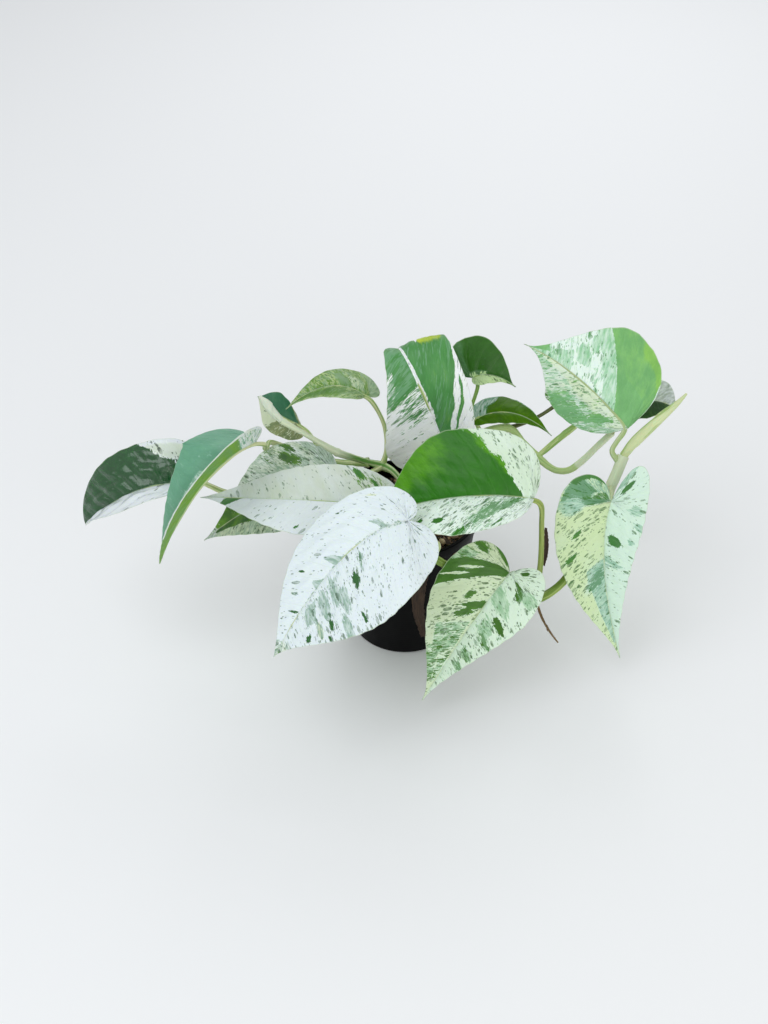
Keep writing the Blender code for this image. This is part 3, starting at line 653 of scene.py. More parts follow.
# %% The leaves of this plant
LEAVES = {
    "leaf_far_left": dict(
        base=(-141, -12, 137), mid=(-180, -19, 139), tip=(-223, -13, 102),
        face=(0.1, -0.2, 1), half=(24, 33), rise=(30, 38), bend=(-8, -30),
        lobe=(-6, 5), widest=(0.5, 0.31), flank=(0.66, 0.88),
        tip_draw=(0.2, 0), wave=(1.2, 1.5, 0),
        stalk=[(-142, -5, 133), (-141, 3, 127), (-136, 5, 122), (-127, 2, 119.5),
               (-114, -3, 119)],
        stalk_radius=1.5,
    ),
    "leaf_left_arching": dict(
        base=(-101, -7, 171), mid=(-134, -51, 168), tip=(-172, -29, 80),
        face=(0, -0.2, 1), tip_face=(-0.7, -0.7, 0.1),
        half=(14, 34), rise=(88, 14), bend=(-16, -32), widest=(0.2, 0.3), flank=(0.4, 0.24),
        lobe=(6, 6), tip_draw=(0.3, 0.75), wave=(1, 1.5, 1),
        stalk=[(-96, 0, 163), (-97, 12, 150), (-97, 25, 140), (-96, 37.3, 135.3),
               (-89, 44.5, 127), (-76, 48, 117), (-60, 47, 112), (-43, 44, 111), (-26, 40, 115)],
        stalk_radius=1.4,
    ),
    "leaf_left_small": dict(
        base=(-74, 49, 142), mid=(-92, 51, 152), tip=(-105, 60, 159),
        face=(0, -0.3, 1), half=(16, 13.5), rise=(-56, 26), bend=(-6, -10),
        lobe=(5, -7), widest=(0.42, 0.6), flank=(0.7, 0.9), tip_draw=(0.6, 0.3),
        wave=(0.6, 1, 0),
        stalk=[(-70, 45, 140), (-66, 39, 139), (-63, 31, 140), (-60, 28, 142)],
        stalk_radius=1.1,
    ),
    "leaf_left_low": dict(
        base=(-48, 18, 119), mid=(-93, 2, 115), tip=(-143, -6, 81),
        face=(0.1, -0.3, 1), half=(32, 36), rise=(6, 14), bend=(-10, -16),
        lobe=(6, 3), flank=(0.56, 0.5), tip_draw=(0.5, 0.75), wave=(1.2, 1.5, 2),
        stalk=[(-43, 19, 117), (-34, 26, 113), (-24, 35, 110), (-16, 42, 110)],
        stalk_radius=1.5,
    ),
    "leaf_back_left": dict(
        base=(-28, 51, 166), mid=(-54, 50, 175), tip=(-84, 44, 160),
        face=(0, -0.2, 1), half=(20, 22), rise=(28, 4), bend=(-10, -30),
        lobe=(-4, 9), widest=(0.31, 0.22), flank=(0.48, 0.42), tip_draw=(0.5, 0.75), wave=(0.8, 1.5, 0.5),
        stalk=[(-23, 51, 160), (-15, 52, 140), (-13, 48, 122), (-16, 42, 110)],
        stalk_radius=1.4,
    ),
    "leaf_left_folded": dict(
        base=(-11, -28, 133), mid=(-70, -32, 141), tip=(-143, -2, 118),
        face=(0, -0.2, 1), half=(32, 30), rise=(10, 14), bend=(-10, -14),
        lobe=(9, 9), tip_draw=0.6, wave=(1.2, 1.5, 0),
        stalk=[(-5, -26, 130), (3, -20, 118), (5, 0, 104)], stalk_radius=1.6,
    ),
    "leaf_front_white": dict(
        base=(0, -78, 163), mid=(-42, -97, 147), tip=(-87, -118, 80),
        face=(-0.1, -0.5, 0.9), half=(50, 32), rise=(8, 8), bend=(-16, -20),
        lobe=(14, 9), notch=0.1, flank=(0.68, 0.58), wave=(1.5, 1.5, 0),
        stalk=[(8, -79, 155), (16, -76, 145), (20, -72, 136), (18, -64, 122), (14, -55, 113)],
        stalk_radius=1.6,
    ),
    "leaf_centre": dict(
        base=(82, -53, 160), mid=(36, -51, 160), tip=(-15, -41, 138),
        face=(0, -0.15, 1), half=(36, 46), rise=(15, 42), bend=(-14, -20),
        lobe=(-6, 3), widest=(0.46, 0.44), flank=(0.7, 0.72), tip_draw=(0.5, 0.25),
        wave=(1.4, 1.5, 0),
        stalk=[(87, -52, 154), (90, -46, 130), (92, -44, 95), (91, -45, 61)],
        stalk_radius=1.6,
    ),
    "leaf_front_heart": dict(
        base=(69, -64, 104), mid=(44, -84, 77), tip=(11, -103, 20),
        face=(-0.1, -0.8, 0.6), half=(30, 38), rise=(18, 18), bend=(-20, -20),
        lobe=(12, 6), notch=0.36, widest=(0.16, 0.2), flank=(0.36, 0.5), tip_draw=0.7, wave=(1.2, 1.5, 0),
        stalk=[(75, -60, 100), (80, -53, 84), (78, -48, 67)], stalk_radius=1.5,
    ),
    "leaf_right_hanging": dict(
        base=(139, -22, 131), mid=(137, -42, 85), tip=(153, -60, 16),
        face=(0, -1, 0.3), half=(25, 37), rise=(20, 20), bend=(-20, -20),
        lobe=(23, 12), tip_draw=0.7, widest=0.06, flank=(0.34, 0.46), wave=(1.2, 1.5, 0),
        stalk=[(139, -18, 132), (140, -11, 131), (141, -2.5, 127)], stalk_radius=1.5,
    ),
    "leaf_right_top": dict(
        base=(152, 19, 162), mid=(118, 48, 185), tip=(82, 65, 200),
        face=(0.1, -0.8, 0.7), half=(36, 51), rise=(-46, 6), bend=(-10, -10),
        lobe=(-7, -1), tip_draw=0.75, widest=(0.46, 0.42), flank=(0.72, 0.6), wave=(1.2, 1.5, 0),
        stalk=[(150, 20, 158), (145, 16, 152), (142, 11, 147.5), (148, 7, 140.5)],
        stalk_radius=1.5,
    ),
    "leaf_upright": dict(
        base=(28, 34, 135), mid=(-1, 50, 200), tip=(-4, 92, 163),
        face=(-0.1, -1, 0.2), tip_face=(0, 0.4, 1),
        half=(42, 33), rise=(4, 24), bend=(-12, -46),
        lobe=(14, 6), widest=(0.04, 0.5), flank=(0.12, 0.75), tip_draw=(0.85, 0.5), wave=(1.2, 1.5, 0),
        stalk=[(29, 30, 129), (24, 22, 119), (14, 11, 110), (6, 2, 106)],
        stalk_radius=1.6,
    ),
    "leaf_back_small": dict(
        base=(48, 74, 165), mid=(62, 73, 168), tip=(79, 70, 160),
        face=(0, -0.4, 1), half=(28, 8), rise=(38, 0), bend=(-10, -10),
        lobe=(8, 1), widest=(0.2, 0.22), flank=(0.34, 0.42), tip_draw=(0.85, 0.75),
        wave=(0.6, 1, 0),
        stalk=[(52, 71, 160), (48, 66, 146), (42, 54, 134), (38, 39, 124), (37, 32, 111)],
        stalk_radius=1.2,
    ),
    "leaf_back_dark": dict(
        base=(53, 73, 130), mid=(80, 73, 134), tip=(108, 67, 118),
        face=(0, -0.3, 1), half=(16, 9), rise=(0, 4), bend=(-20, -20),
        lobe=(4, 4), tip_draw=0.7, wave=(0.8, 1.5, 0),
        stalk=[(52, 72, 128), (56, 66, 121)], stalk_radius=1.2,
    ),
    "leaf_back_hidden": dict(
        base=(114, 84, 137), mid=(126, 92, 140), tip=(140, 102, 132),
        face=(0, -0.3, 1), half=(17, 17), rise=(15, 15), bend=(-20, -20),
        lobe=(5, 5), wave=(0.8, 1.5, 0),
        stalk=[(111, 83, 134), (100, 80, 127), (88, 76, 123), (76, 71, 122)],
        stalk_radius=1.2,
    ),
    "leaf_back_right": dict(
        base=(156, 58, 150), mid=(174, 62, 154), tip=(194, 64, 146),
        face=(0, -0.3, 1), half=(19, 14), rise=(15, 0), bend=(-20, -10),
        lobe=(5, 5), widest=(0.6, 0.4), flank=(0.95, 0.6), tip_draw=(0.1, 0.5), wave=(0.8, 1.5, 0),
        stalk=[(153, 56, 147), (149, 50, 142), (147, 45, 138)],
        stalk_radius=1.2,
    ),
    "leaf_inner": dict(
        base=(16, -6, 118), mid=(2, -8, 124), tip=(-14, -8, 116),
        face=(-0.1, -0.4, 1), half=(13, 14), rise=(10, 20), bend=(-10, -10),
        lobe=(3, 3), wave=(0.4, 1, 0),
        stalk=[(19, -5, 114), (14, 0, 109), (6, 2, 107)], stalk_radius=1.1,
    ),
}

print(len(LEAVES), "leaves")

# %% [markdown]
# The marbling of each leaf is painted as washes and spots. A wash covers a band of
# side veins, given as shares of the margin from the notch to the tip, and a band of
# the way from midrib to margin. Where an edge of the band slants across the veins, it
# has two shares, at the midrib and at the margin. A spot is an oval that lies along its
# vein, with its half length and half width in millimetres. Each gives the green, the
# grey-green and the cream there, and some how thick the dashes lie. A wash may also say
# how softly it ends. The noise of the marbling group frays what is painted.

# %% Painting the marbling
LEFT, RIGHT, BOTH = 0, 1, 2
WASH_SOFT = (0.012, 0.03)
SPOT_EDGE = 1.5
SPOT_SOFT = 1.0
SPOT_NARROW = 0.35


def slanted(edge, reach):
    """Where a band ends: at one share, or at one that runs from midrib to margin."""
    near, far = edge if isinstance(edge, tuple) else (edge, edge)
    return near + (far - near) * reach


def band(values, low, high, soft):
    """How much of a band covers each value. An end at 0 or 1 is open and doesn't fade."""
    rising = np.where(low <= 0, 1, np.clip((values - low) / soft + 0.5, 0, 1))
    falling = np.where(high >= 1, 1, np.clip((high - values) / soft + 0.5, 0, 1))
    return rising * falling


def four(shades):
    """Green, grey-green, cream and the dashes, which are as thick as elsewhere if not given."""
    return np.array([*shades, 1.0][:4])


def painted(look, right, share, reach, across, along):
    """The four shades at each point of one half of a blade."""
    layers = np.zeros((*share.shape, 4))
    layers[:] = four(look["ground"])
    for half, start, end, near, far, shades, *soft in look.get("washes", []):
        if half in (right, BOTH):
            fade, side_fade = soft or WASH_SOFT
            cover = band(share, slanted(start, reach), slanted(end, reach), fade)
            cover = cover * band(reach, near, far, side_fade)
            layers += (four(shades) - layers) * cover[..., None]
    for half, at_share, at_reach, long, wide, shades in look.get("spots", []):
        if half != right:
            continue
        nearest = np.argmin(np.abs(share[:, 0] - at_share))
        middle = np.argmin(np.abs(reach[nearest] - at_reach))
        side = (across - across[nearest, middle]) * (SPOT_NARROW + (1 - SPOT_NARROW) * reach)
        radius = np.hypot(side / wide, (along - along[nearest, middle]) / long)
        cover = np.clip((SPOT_EDGE - radius) / SPOT_SOFT, 0, 1)
        layers += (four(shades) - layers) * cover[..., None]
    return layers


print("washes fade over", WASH_SOFT[0] * 100, "percent of the margin")

# %% [markdown]
# This is what is painted on each leaf, as it looks on the real plant. The ground is
# laid first, then the washes and the spots in their order. The two flecks are the
# shares of long and of short dashes, and pucker is the height of the quilting in
# millimetres. The other words are those of the leaf finish, and stalk gives a stalk its
# main colour and its stripes.

# %% What is painted on each leaf
LOOKS = {
    "leaf_far_left": dict(
        ground=(1, 0, 0), flecks=(0.3, 0.3), pucker=1.2, matt=0.14, gloss=0.85,
        colours={"Green": tone(24, 84, 36), "Dark": tone(10, 48, 16), "Cream": tone(212, 224, 208),
                 "Lime": tone(44, 104, 30)},
        washes=[
            (RIGHT, 0, (0.3, 0.44), 0, 1, (0.55, 0.3, 0.4)),
            (RIGHT, 0, (0.34, 0.46), 0.55, 1, (0.28, 0.2, 0.8)),
            (RIGHT, 0, 0.46, 0.88, 1, (0.05, 0.3, 0.2)),
            (LEFT, 0, 1, 0, 1, (0.03, 0.14, 0, 0.6)),
            (LEFT, 0, 0.4, 0.2, 0.8, (0.1, 0.38, 0)),
        ],
    ),
    "leaf_left_arching": dict(
        ground=(1, 0.3, 0), flecks=(0.1, 0.1), pucker=0.3, under=0.05,
        # The green is partly the leaf's own blue-green and partly a painted sheen, which makes it lighter and
        # greyer.
        colours={"Green": tone(112, 170, 140), "Lime": tone(108, 156, 10), "Dark": tone(84, 142, 112),
                 "Grey": tone(168, 208, 188)},
        washes=[
            (RIGHT, 0.46, 0.8, 0, 0.3, (0.52, 0.7, 0)),
            (LEFT, 0, 1, 0, 1, (1, 0.1, 1.6)),
            (LEFT, 0, 0.26, 0, 1, (0.45, 0.4, 0.3)),
            (LEFT, 0, 0.75, 0.88, 1, (0, 0.1, 0.2)),
        ],
    ),
    "leaf_left_small": dict(
        ground=(1, 0.2, 0), flecks=(0.1, 0.1), pucker=0.2,
        colours={"Green": tone(52, 112, 80), "Lime": tone(150, 158, 112), "Dark": tone(36, 86, 58),
                 "Cream": tone(204, 214, 186)},
        washes=[
            (RIGHT, 0, (0.42, 0.34), 0, 1, (0.55, 0.1, 0.9)),
            (LEFT, 0, 1, 0, 1, (0.6, 0.1, 0.9)),
            (LEFT, (0.62, 0.64), 1, 0, 1, (0.05, 0.2, 0.9)),
        ],
    ),
    "leaf_left_low": dict(
        ground=(0.22, 0.5, 0.5), flecks=(0.5, 0.4), pucker=0.35,
        colours={"Cream": tone(200, 214, 182), "Grey": tone(150, 178, 154), "Green": tone(66, 104, 58),
                 "Dark": tone(52, 84, 52)},
        washes=[
            (RIGHT, 0.36, 0.52, 0.45, 1, (0.42, 0.5, 0.5, 1.5)),
            (RIGHT, 0, 0.32, 0.25, 1, (0.12, 0.65, 0.15)),
            (RIGHT, 0.68, 0.9, 0, 1, (0.72, 0.1, 0.5)),
            (LEFT, 0.6, 0.92, 0.4, 1, (0.3, 0.5, 0.7, 1.5)),
            (LEFT, 0.72, 0.93, 0, 0.55, (0.88, 0.1, 0.3)),
            (BOTH, 0.93, 1, 0, 1, (0.1, 0.6, 0.4)),
        ],
        spots=[
            (RIGHT, 0.485, 0.25, 4, 7.5, (1, 0, 0)),
            (RIGHT, 0.44, 0.62, 7, 2.4, (0.85, 0.2, 0.3)),
            (RIGHT, 0.4, 0.86, 6, 2.4, (0.8, 0.2, 0.2)),
        ],
    ),
    "leaf_back_left": dict(
        ground=(0.5, 0.45, 0.9), flecks=(0.4, 0.4), pucker=0.3,
        colours={"Green": tone(82, 130, 44), "Lime": tone(104, 146, 52), "Cream": tone(160, 184, 120),
                 "Grey": tone(140, 172, 136), "White": tone(190, 206, 170), "Dark": tone(54, 98, 30)},
        washes=[
            (RIGHT, 0.4, 0.52, 0.08, 0.5, (0.44, 0.5, 0)),
            (RIGHT, 0, 0.32, 0.35, 1, (0.1, 1, 0)),
            (LEFT, 0.45, 1, 0.35, 0.8, (0.85, 0.4, 0.2), 0.05, 0.2),
        ],
        spots=[(RIGHT, 0.56, 0.44, 6, 1.6, (0.9, 0.7, 0))],
    ),
    "leaf_left_folded": dict(
        ground=(0.05, 0.14, 0.05, 0.8), flecks=(0.22, 0.2), pucker=0.3, depth=0.75,
        colours={"White": tone(226, 235, 236), "Cream": tone(206, 217, 196)},
        washes=[
            (RIGHT, 0, 1, 0, 1, (0.08, 0.25, 0.55)),
            (RIGHT, 0.14, 0.4, 0.15, 0.9, (0.4, 0.2, 0.7, 2.2), 0.06, 0.2),
        ],
        spots=[
            (LEFT, 0.845, 0.62, 7, 3.2, (1, 0, 0)),
            (LEFT, 0.52, 0.83, 2.2, 1.6, (0.9, 0.2, 0)),
            (RIGHT, 0.31, 0.78, 5, 2.4, (1, 0, 0)),
            (RIGHT, 0.26, 0.5, 5, 1.3, (0.9, 0, 0.3)),
            (RIGHT, 0.24, 0.35, 4, 1, (0.9, 0, 0.3)),
        ],
    ),
    "leaf_front_white": dict(
        ground=(0.05, 0.1, 0, 1.2), flecks=(0.22, 0.3), pucker=0.5, depth=0.8, midrib=0.15,
        colours={"Grey": tone(140, 172, 154), "White": tone(226, 238, 240), "Dark": tone(54, 92, 58),
                 "Green": tone(52, 104, 50)},
        washes=[
            (RIGHT, 0, 1, 0, 1, (0.03, 0.1, 0, 0.75)),
            (LEFT, 0, 0.3, 0, 1, (0.04, 0.08, 0, 0.6)),
            (BOTH, 0.35, 0.85, 0, 0.05, (0.05, 0.5, 0.25)),
            (LEFT, 0.5, 0.95, 0, 1, (0.22, 0.26, 0, 1.7), 0.1, 0.1),
            (LEFT, 0.66, 0.86, 0.03, 0.75, (0.27, 0.36, 0, 1.7), 0.06, 0.2),
            (BOTH, 0.92, 1, 0, 1, (0.42, 0.5, 0.4, 2), 0.05, 0.1),
        ],
        spots=[
            (RIGHT, 0.6, 0.13, 6, 1.1, (0.2, 1, 0)),
            (RIGHT, 0.69, 0.1, 3.6, 0.9, (0.1, 0.9, 0)),
            (RIGHT, 0.43, 0.14, 6, 0.5, (0.2, 0.8, 0)),
            (RIGHT, 0.43, 0.8, 2, 0.9, (0.8, 0.2, 0)),
            (RIGHT, 0.66, 0.6, 2, 0.9, (1, 0, 0)),
            (RIGHT, 0.745, 0.55, 4, 1.1, (0.6, 0.5, 0)),
            (RIGHT, 0.31, 0.8, 1.6, 1.4, (0.4, 0.6, 0.9)),
            (RIGHT, 0.81, 0.3, 4, 0.6, (0.7, 0.5, 0)),
            (LEFT, 0.605, 0.4, 5.5, 1.3, (0.95, 0.4, 0)),
            (LEFT, 0.58, 0.22, 8, 0.9, (0.6, 0.6, 0)),
            (LEFT, 0.545, 0.3, 6, 2.4, (0, 0.42, 0)),
            (LEFT, 0.665, 0.5, 7, 2.2, (0.2, 0.95, 0)),
            (LEFT, 0.7, 0.32, 9, 1.5, (0.3, 0.9, 0)),
            (LEFT, 0.745, 0.4, 8, 2, (0.15, 0.8, 0)),
            (LEFT, 0.79, 0.75, 6, 2, (0.3, 0.6, 0.8)),
            (LEFT, 0.805, 0.3, 4.5, 2.4, (0.15, 1, 0)),
            (LEFT, 0.69, 0.86, 7, 2.6, (0.3, 0.95, 0)),
            (LEFT, 0.62, 0.82, 3.6, 1.1, (0.9, 0.3, 0)),
            (LEFT, 0.745, 0.72, 4, 1.4, (0.8, 0.4, 0)),
            (LEFT, 0.84, 0.85, 1.8, 1.6, (0.95, 0.3, 0)),
            (LEFT, 0.765, 0.95, 2, 1.3, (0.85, 0.4, 0)),
            (LEFT, 0.12, 0.3, 5, 1, (0.9, 0.3, 0)),
            (LEFT, 0.27, 0.38, 2.4, 1.7, (0.75, 0.4, 0)),
        ],
    ),
    "leaf_centre": dict(
        ground=(0.12, 0.15, 0.3), flecks=(0.45, 0.4), pucker=0.42, depth=0.85,
        colours={"Green": tone(46, 118, 14), "Lime": tone(84, 154, 6), "White": tone(232, 248, 236),
                 "Cream": tone(212, 232, 208), "Dark": tone(30, 90, 20), "Grey": tone(146, 190, 150)},
        stalk=(tone(126, 150, 66), tone(168, 184, 104)),
        washes=[
            (RIGHT, 0, 0.5, 0, 1, (0.14, 0.2, 0.7, 1.1)),
            (RIGHT, (0.395, 0.49), 1, 0, 1, (1, 0, -0.3)),
            (RIGHT, (0.38, 0.47), (0.41, 0.51), 0.3, 1, (0.62, 0.4, 1)),
            (RIGHT, 0.62, 1, 0.5, 1, (1, 0, 1.2), 0.2, 0.7),
            (LEFT, 0.22, 0.8, 0, 1, (0.24, 0.36, 0.3, 1.3), 0.1, 0.1),
            (LEFT, 0.36, 0.56, 0, 1, (0.38, 0.44, 0.3, 1.3), 0.1, 0.1),
        ],
        spots=[
            (LEFT, 0.455, 0.5, 13, 3, (0.62, 0.8, 0)),
            (LEFT, 0.4, 0.28, 8, 1.6, (0.7, 0.6, 0.2)),
            (LEFT, 0.5, 0.95, 4, 2, (0.8, 0.5, 0)),
            (LEFT, 0.63, 0.72, 2.5, 2.2, (0.95, 0, 0)),
            (LEFT, 0.71, 0.92, 3.4, 1.7, (0.9, 0, 0)),
            (LEFT, 0.34, 0.85, 6, 1.2, (0.7, 0.3, 0.2)),
        ],
    ),
    "leaf_front_heart": dict(
        ground=(0.27, 0.24, 0.75, 1.3), flecks=(0.6, 0.5), pucker=0.3,
        colours={"Green": tone(68, 116, 34), "Cream": tone(206, 224, 186), "White": tone(218, 240, 218),
                 "Lime": tone(84, 140, 36), "Grey": tone(146, 190, 148), "Dark": tone(48, 92, 32)},
        washes=[
            (RIGHT, 0, 0.28, 0, 1, (0.36, 0.2, 0.8, 1.5)),
            (RIGHT, 0.27, 0.36, 0.7, 1, (0.5, 0.6, 0.6)),
            (RIGHT, 0, 0.13, 0.35, 1, (0.75, 0, 0.4)),
            (RIGHT, (0.27, 0.34), (0.4, 0.45), 0, 1, (1, 0, 0.1)),
            (RIGHT, 0.62, 0.76, 0.08, 0.8, (0.46, 0.55, 0.4)),
            (RIGHT, 0.7, 0.9, 0.55, 1, (0.48, 0.5, 0.4), 0.06, 0.2),
            (RIGHT, 0.76, 0.9, 0.1, 0.55, (0.5, 0.45, 0.4)),
            (LEFT, 0, 1, 0, 1, (0.18, 0.26, 0.1, 1.2)),
            (LEFT, 0.5, 0.9, 0.25, 1, (0.3, 0.36, 0.2, 1.2), 0.1, 0.2),
            (LEFT, 0.44, 0.97, 0, 0.15, (0, 0.2, 0.1, 0.2), 0.1, 0.2),
            (RIGHT, 0.8, 1, 0, 0.1, (0.05, 0.2, 0.1, 0.2)),
        ],
        spots=[
            (RIGHT, 0.375, 0.6, 8, 1.3, (0, 0.2, 0.8)),
            (RIGHT, 0.41, 0.78, 9, 1.1, (0.1, 0.3, 0.8)),
            (RIGHT, 0.22, 0.85, 5, 2.2, (0.95, 0, 0)),
            (RIGHT, 0.5, 0.36, 2.8, 1.6, (0.9, 0.1, 0.2)),
            (RIGHT, 0.545, 0.16, 10, 1, (0.95, 0.1, 0)),
            (RIGHT, 0.585, 0.32, 6, 1.3, (0.95, 0.2, 0)),
            (LEFT, 0.335, 0.72, 6, 5, (0.1, 1, 0)),
            (LEFT, 0.345, 0.38, 5.5, 2.4, (0.9, 0.4, 0)),
            (LEFT, 0.375, 0.52, 4, 2.5, (0.85, 0.5, 0)),
            (LEFT, 0.46, 0.3, 9, 2.4, (0.15, 0.9, 0)),
            (LEFT, 0.515, 0.66, 7, 1.4, (1, 0.2, 0)),
            (LEFT, 0.565, 0.45, 6, 3, (0.45, 0.8, 0.1)),
            (LEFT, 0.61, 0.72, 7, 2, (0.6, 0.6, 0.2)),
            (LEFT, 0.7, 0.7, 6, 2.2, (0.55, 0.7, 0.2)),
            (LEFT, 0.765, 0.75, 5, 1.8, (0.55, 0.7, 0.2)),
            (LEFT, 0.15, 0.5, 3, 2.4, (1, 0.2, 0)),
        ],
    ),
    "leaf_right_hanging": dict(
        ground=(0.27, 0.2, 0.8, 1.4), flecks=(0.62, 0.55), pucker=0.3,
        colours={"Cream": tone(206, 228, 180), "White": tone(208, 234, 216), "Grey": tone(138, 184, 158),
                 "Green": tone(66, 126, 60), "Dark": tone(58, 106, 50), "Lime": tone(84, 140, 40)},
        stalk=(tone(206, 218, 176), tone(176, 198, 134)),
        washes=[
            (RIGHT, 0, 0.34, 0, 1, (0.32, 0.55, 0.6)),
            (RIGHT, 0.19, 0.31, 0.45, 0.97, (0.72, 0.6, 0.2)),
            (RIGHT, 0.1, 0.28, 0, 0.4, (0.6, 0.4, 0.5)),
            (RIGHT, 0.08, 0.24, 0.88, 1, (0.85, 0.3, 0.2)),
            (RIGHT, 0.6, 0.92, 0.03, 0.52, (0.22, 0.72, 0.2)),
            (LEFT, 0, 1, 0, 1, (0.12, 0.26, 0, 0.5)),
            (LEFT, 0, 0.16, 0.5, 1, (0.32, 0.8, 0, 0.8)),
        ],
        spots=[
            (RIGHT, 0.335, 0.75, 7, 5, (0.15, 1, 0)),
            (RIGHT, 0.315, 0.34, 8, 4, (0.85, 0.6, 0)),
            (RIGHT, 0.525, 0.8, 4, 1.4, (0.9, 0.2, 0.2)),
            (RIGHT, 0.45, 0.6, 3, 1.4, (0.9, 0.2, 0.2)),
            (RIGHT, 0.66, 0.3, 9, 3, (0.6, 0.8, 0)),
            (LEFT, 0.19, 0.5, 6, 2, (1, 0.2, 0)),
            (LEFT, 0.36, 0.72, 4, 4, (0.1, 1, 0)),
            (LEFT, 0.43, 0.93, 5, 3, (0.1, 0.95, 0)),
            (LEFT, 0.535, 0.33, 5, 1.9, (0.95, 0.3, 0)),
            (LEFT, 0.5, 0.78, 3, 1.6, (0.1, 0.9, 0)),
            (LEFT, 0.62, 0.3, 7, 1.6, (0, 0.75, 0)),
        ],
    ),
    "leaf_right_top": dict(
        ground=(0.2, 0.42, 0), flecks=(0.45, 0.45), pucker=0.25, ragged=0.9, streak=(0.85, 0.75),
        colours={"Green": tone(130, 190, 122), "Lime": tone(146, 202, 100), "Grey": tone(150, 204, 160),
                 "White": tone(232, 250, 238), "Cream": tone(224, 240, 200), "Dark": tone(78, 140, 80)},
        stalk=(tone(196, 210, 164), tone(168, 190, 130)),
        washes=[
            (RIGHT, 0.76, 1, 0, 0.6, (0.34, 0.75, 0.1)),
            (RIGHT, 0.88, 1, 0.45, 1, (0.75, 0.4, 0)),
            (RIGHT, (0.485, 0.6), (0.55, 0.66), 0, 1, (0.05, 0.95, 0, 0.4)),
            (RIGHT, 0, (0.485, 0.6), 0, 1, (1, 0.2, 0.25)),
            (RIGHT, 0, (0.485, 0.55), 0, 0.4, (1, 0.2, -0.4)),
            (RIGHT, 0.24, 0.44, 0.84, 1, (1, 0, 1.3)),
            (RIGHT, 0, 0.26, 0.92, 1, (0.2, 0.5, 0.1)),
            (LEFT, 0, 1, 0, 1, (0.45, 0.5, 0.2)),
            (LEFT, 0, 1, 0, 0.36, (0.36, 0.3, 0.5, 1.4), 0.1, 0.12),
            (LEFT, 0.4, 0.62, 0.55, 1, (0.62, 0.6, 0), 0.06, 0.1),
            (LEFT, 0.66, 0.8, 0.35, 1, (0.35, 0.5, 0.3)),
        ],
        spots=[
            (LEFT, 0.43, 0.36, 9, 2, (0.8, 0.5, 0)),
            (RIGHT, 0.71, 0.5, 5, 3, (0.2, 1, 0)),
            (RIGHT, 0.66, 0.75, 4, 2, (0.3, 1, 0)),
        ],
    ),
    "leaf_upright": dict(
        ground=(0.1, 0.16, 0, 0.7), flecks=(0.3, 0.2), pucker=0.35, streak=(1, 0.5), midrib=0,
        # The white is brighter than the leaf's own: painted light on a blade that faces away from the lights.
        colours={"White": tone(250, 254, 254), "Green": tone(86, 152, 84), "Lime": tone(196, 218, 50),
                 "Grey": tone(136, 180, 150), "Dark": tone(50, 110, 44)},
        washes=[
            (RIGHT, 0, 1, 0, 1, (0.05, 0.1, 0)),
            (RIGHT, (0.29, 0.43), (0.34, 0.475), 0.2, 0.9, (0.95, 0, 0.1)),
            (RIGHT, (0.4, 0.56), 1, 0, 1, (1, 0.4, 0)),
            (RIGHT, 0.6, 1, 0, 0.1, (0.12, 0.3, 0), 0.1, 0.05),
            (RIGHT, (0.945, 0.605), (0.985, 0.645), 0.58, 0.94, (1, 0, 1.6), 0.03, 0.08),
            (LEFT, 0.26, 0.54, 0, 1, (0.3, 0.1, 0), 0.12, 0.1),
            (LEFT, 0.38, 0.54, 0, 0.6, (0.52, 0.2, 0), 0.06, 0.3),
            (LEFT, 0.51, 1, 0, 1, (0.86, 0.5, 0), 0.05, 0.03),
            (LEFT, 0.52, 0.66, 0.6, 1, (0.52, 0.5, 0), 0.05, 0.3),
            (BOTH, 0.3, 0.8, 0, 0.02, (0, 0.1, 0)),
        ],
        spots=[(RIGHT, 0.77, 0.6, 2.5, 2, (0.1, 0.3, 0))],
    ),
    "leaf_back_small": dict(
        ground=(1, 0.2, 0), flecks=(0.2, 0.2), pucker=0.3,
        colours={"Green": tone(42, 98, 14), "Lime": tone(84, 128, 84), "Dark": tone(28, 72, 8),
                 "Cream": tone(190, 216, 160)},
        stalk=(tone(104, 148, 62), tone(150, 184, 100)),
        washes=[
            (LEFT, 0.1, 0.46, 0, 1, (1, 0.1, 0.7)),
            (LEFT, 0.3, 0.7, 0, 0.14, (0.45, 0.2, 1.2)),
            (RIGHT, 0, 0.85, 0, 1, (0.35, 0.2, 1.2)),
        ],
    ),
    "leaf_back_dark": dict(
        ground=(1, 0.2, 0.2), flecks=(0.1, 0.1), pucker=0.25, gloss=0.1,
        colours={"Green": tone(70, 116, 6), "Lime": tone(98, 144, 10), "Grey": tone(96, 148, 114),
                 "Dark": tone(38, 76, 2)},
        washes=[
            (LEFT, 0, (0.36, 0.42), 0, 1, (0.2, 1.2, 0)),
            (LEFT, 0.5, 1, 0.94, 1, (0.2, 0.8, 0.4)),
        ],
    ),
    "leaf_back_hidden": dict(
        ground=(0.5, 0.4, 0.4), flecks=(0.3, 0.3), pucker=0.2,
        stalk=(tone(74, 84, 40), tone(112, 118, 66)),
    ),
    "leaf_back_right": dict(
        ground=(1, 0.2, 0), flecks=(0.1, 0.1), pucker=0.2, under=0.2,
        colours={"Green": tone(38, 72, 30), "Grey": tone(156, 170, 156), "Dark": tone(26, 52, 22)},
        washes=[(LEFT, 0, 1, 0, 1, (0.1, 1.3, 0.2))],
    ),
    "leaf_inner": dict(
        ground=(0.25, 0.3, 0.7), flecks=(0.5, 0.4), pucker=0.1,
        washes=[(RIGHT, 0.3, 1, 0.5, 1, (0.9, 0.2, 0.2))],
    ),
}

print("the front leaf has", len(LOOKS["leaf_front_white"]["spots"]), "spots")

# %% [markdown]
# A blade is about a third of a millimetre thick at its margin and a little more near
# the midrib. It starts as a grid of points over the mid surface, whose rows are the
# side veins. The first helpers say where each point of a flat half lies, what is
# painted there, and how far the soft quilting between the veins raises it.

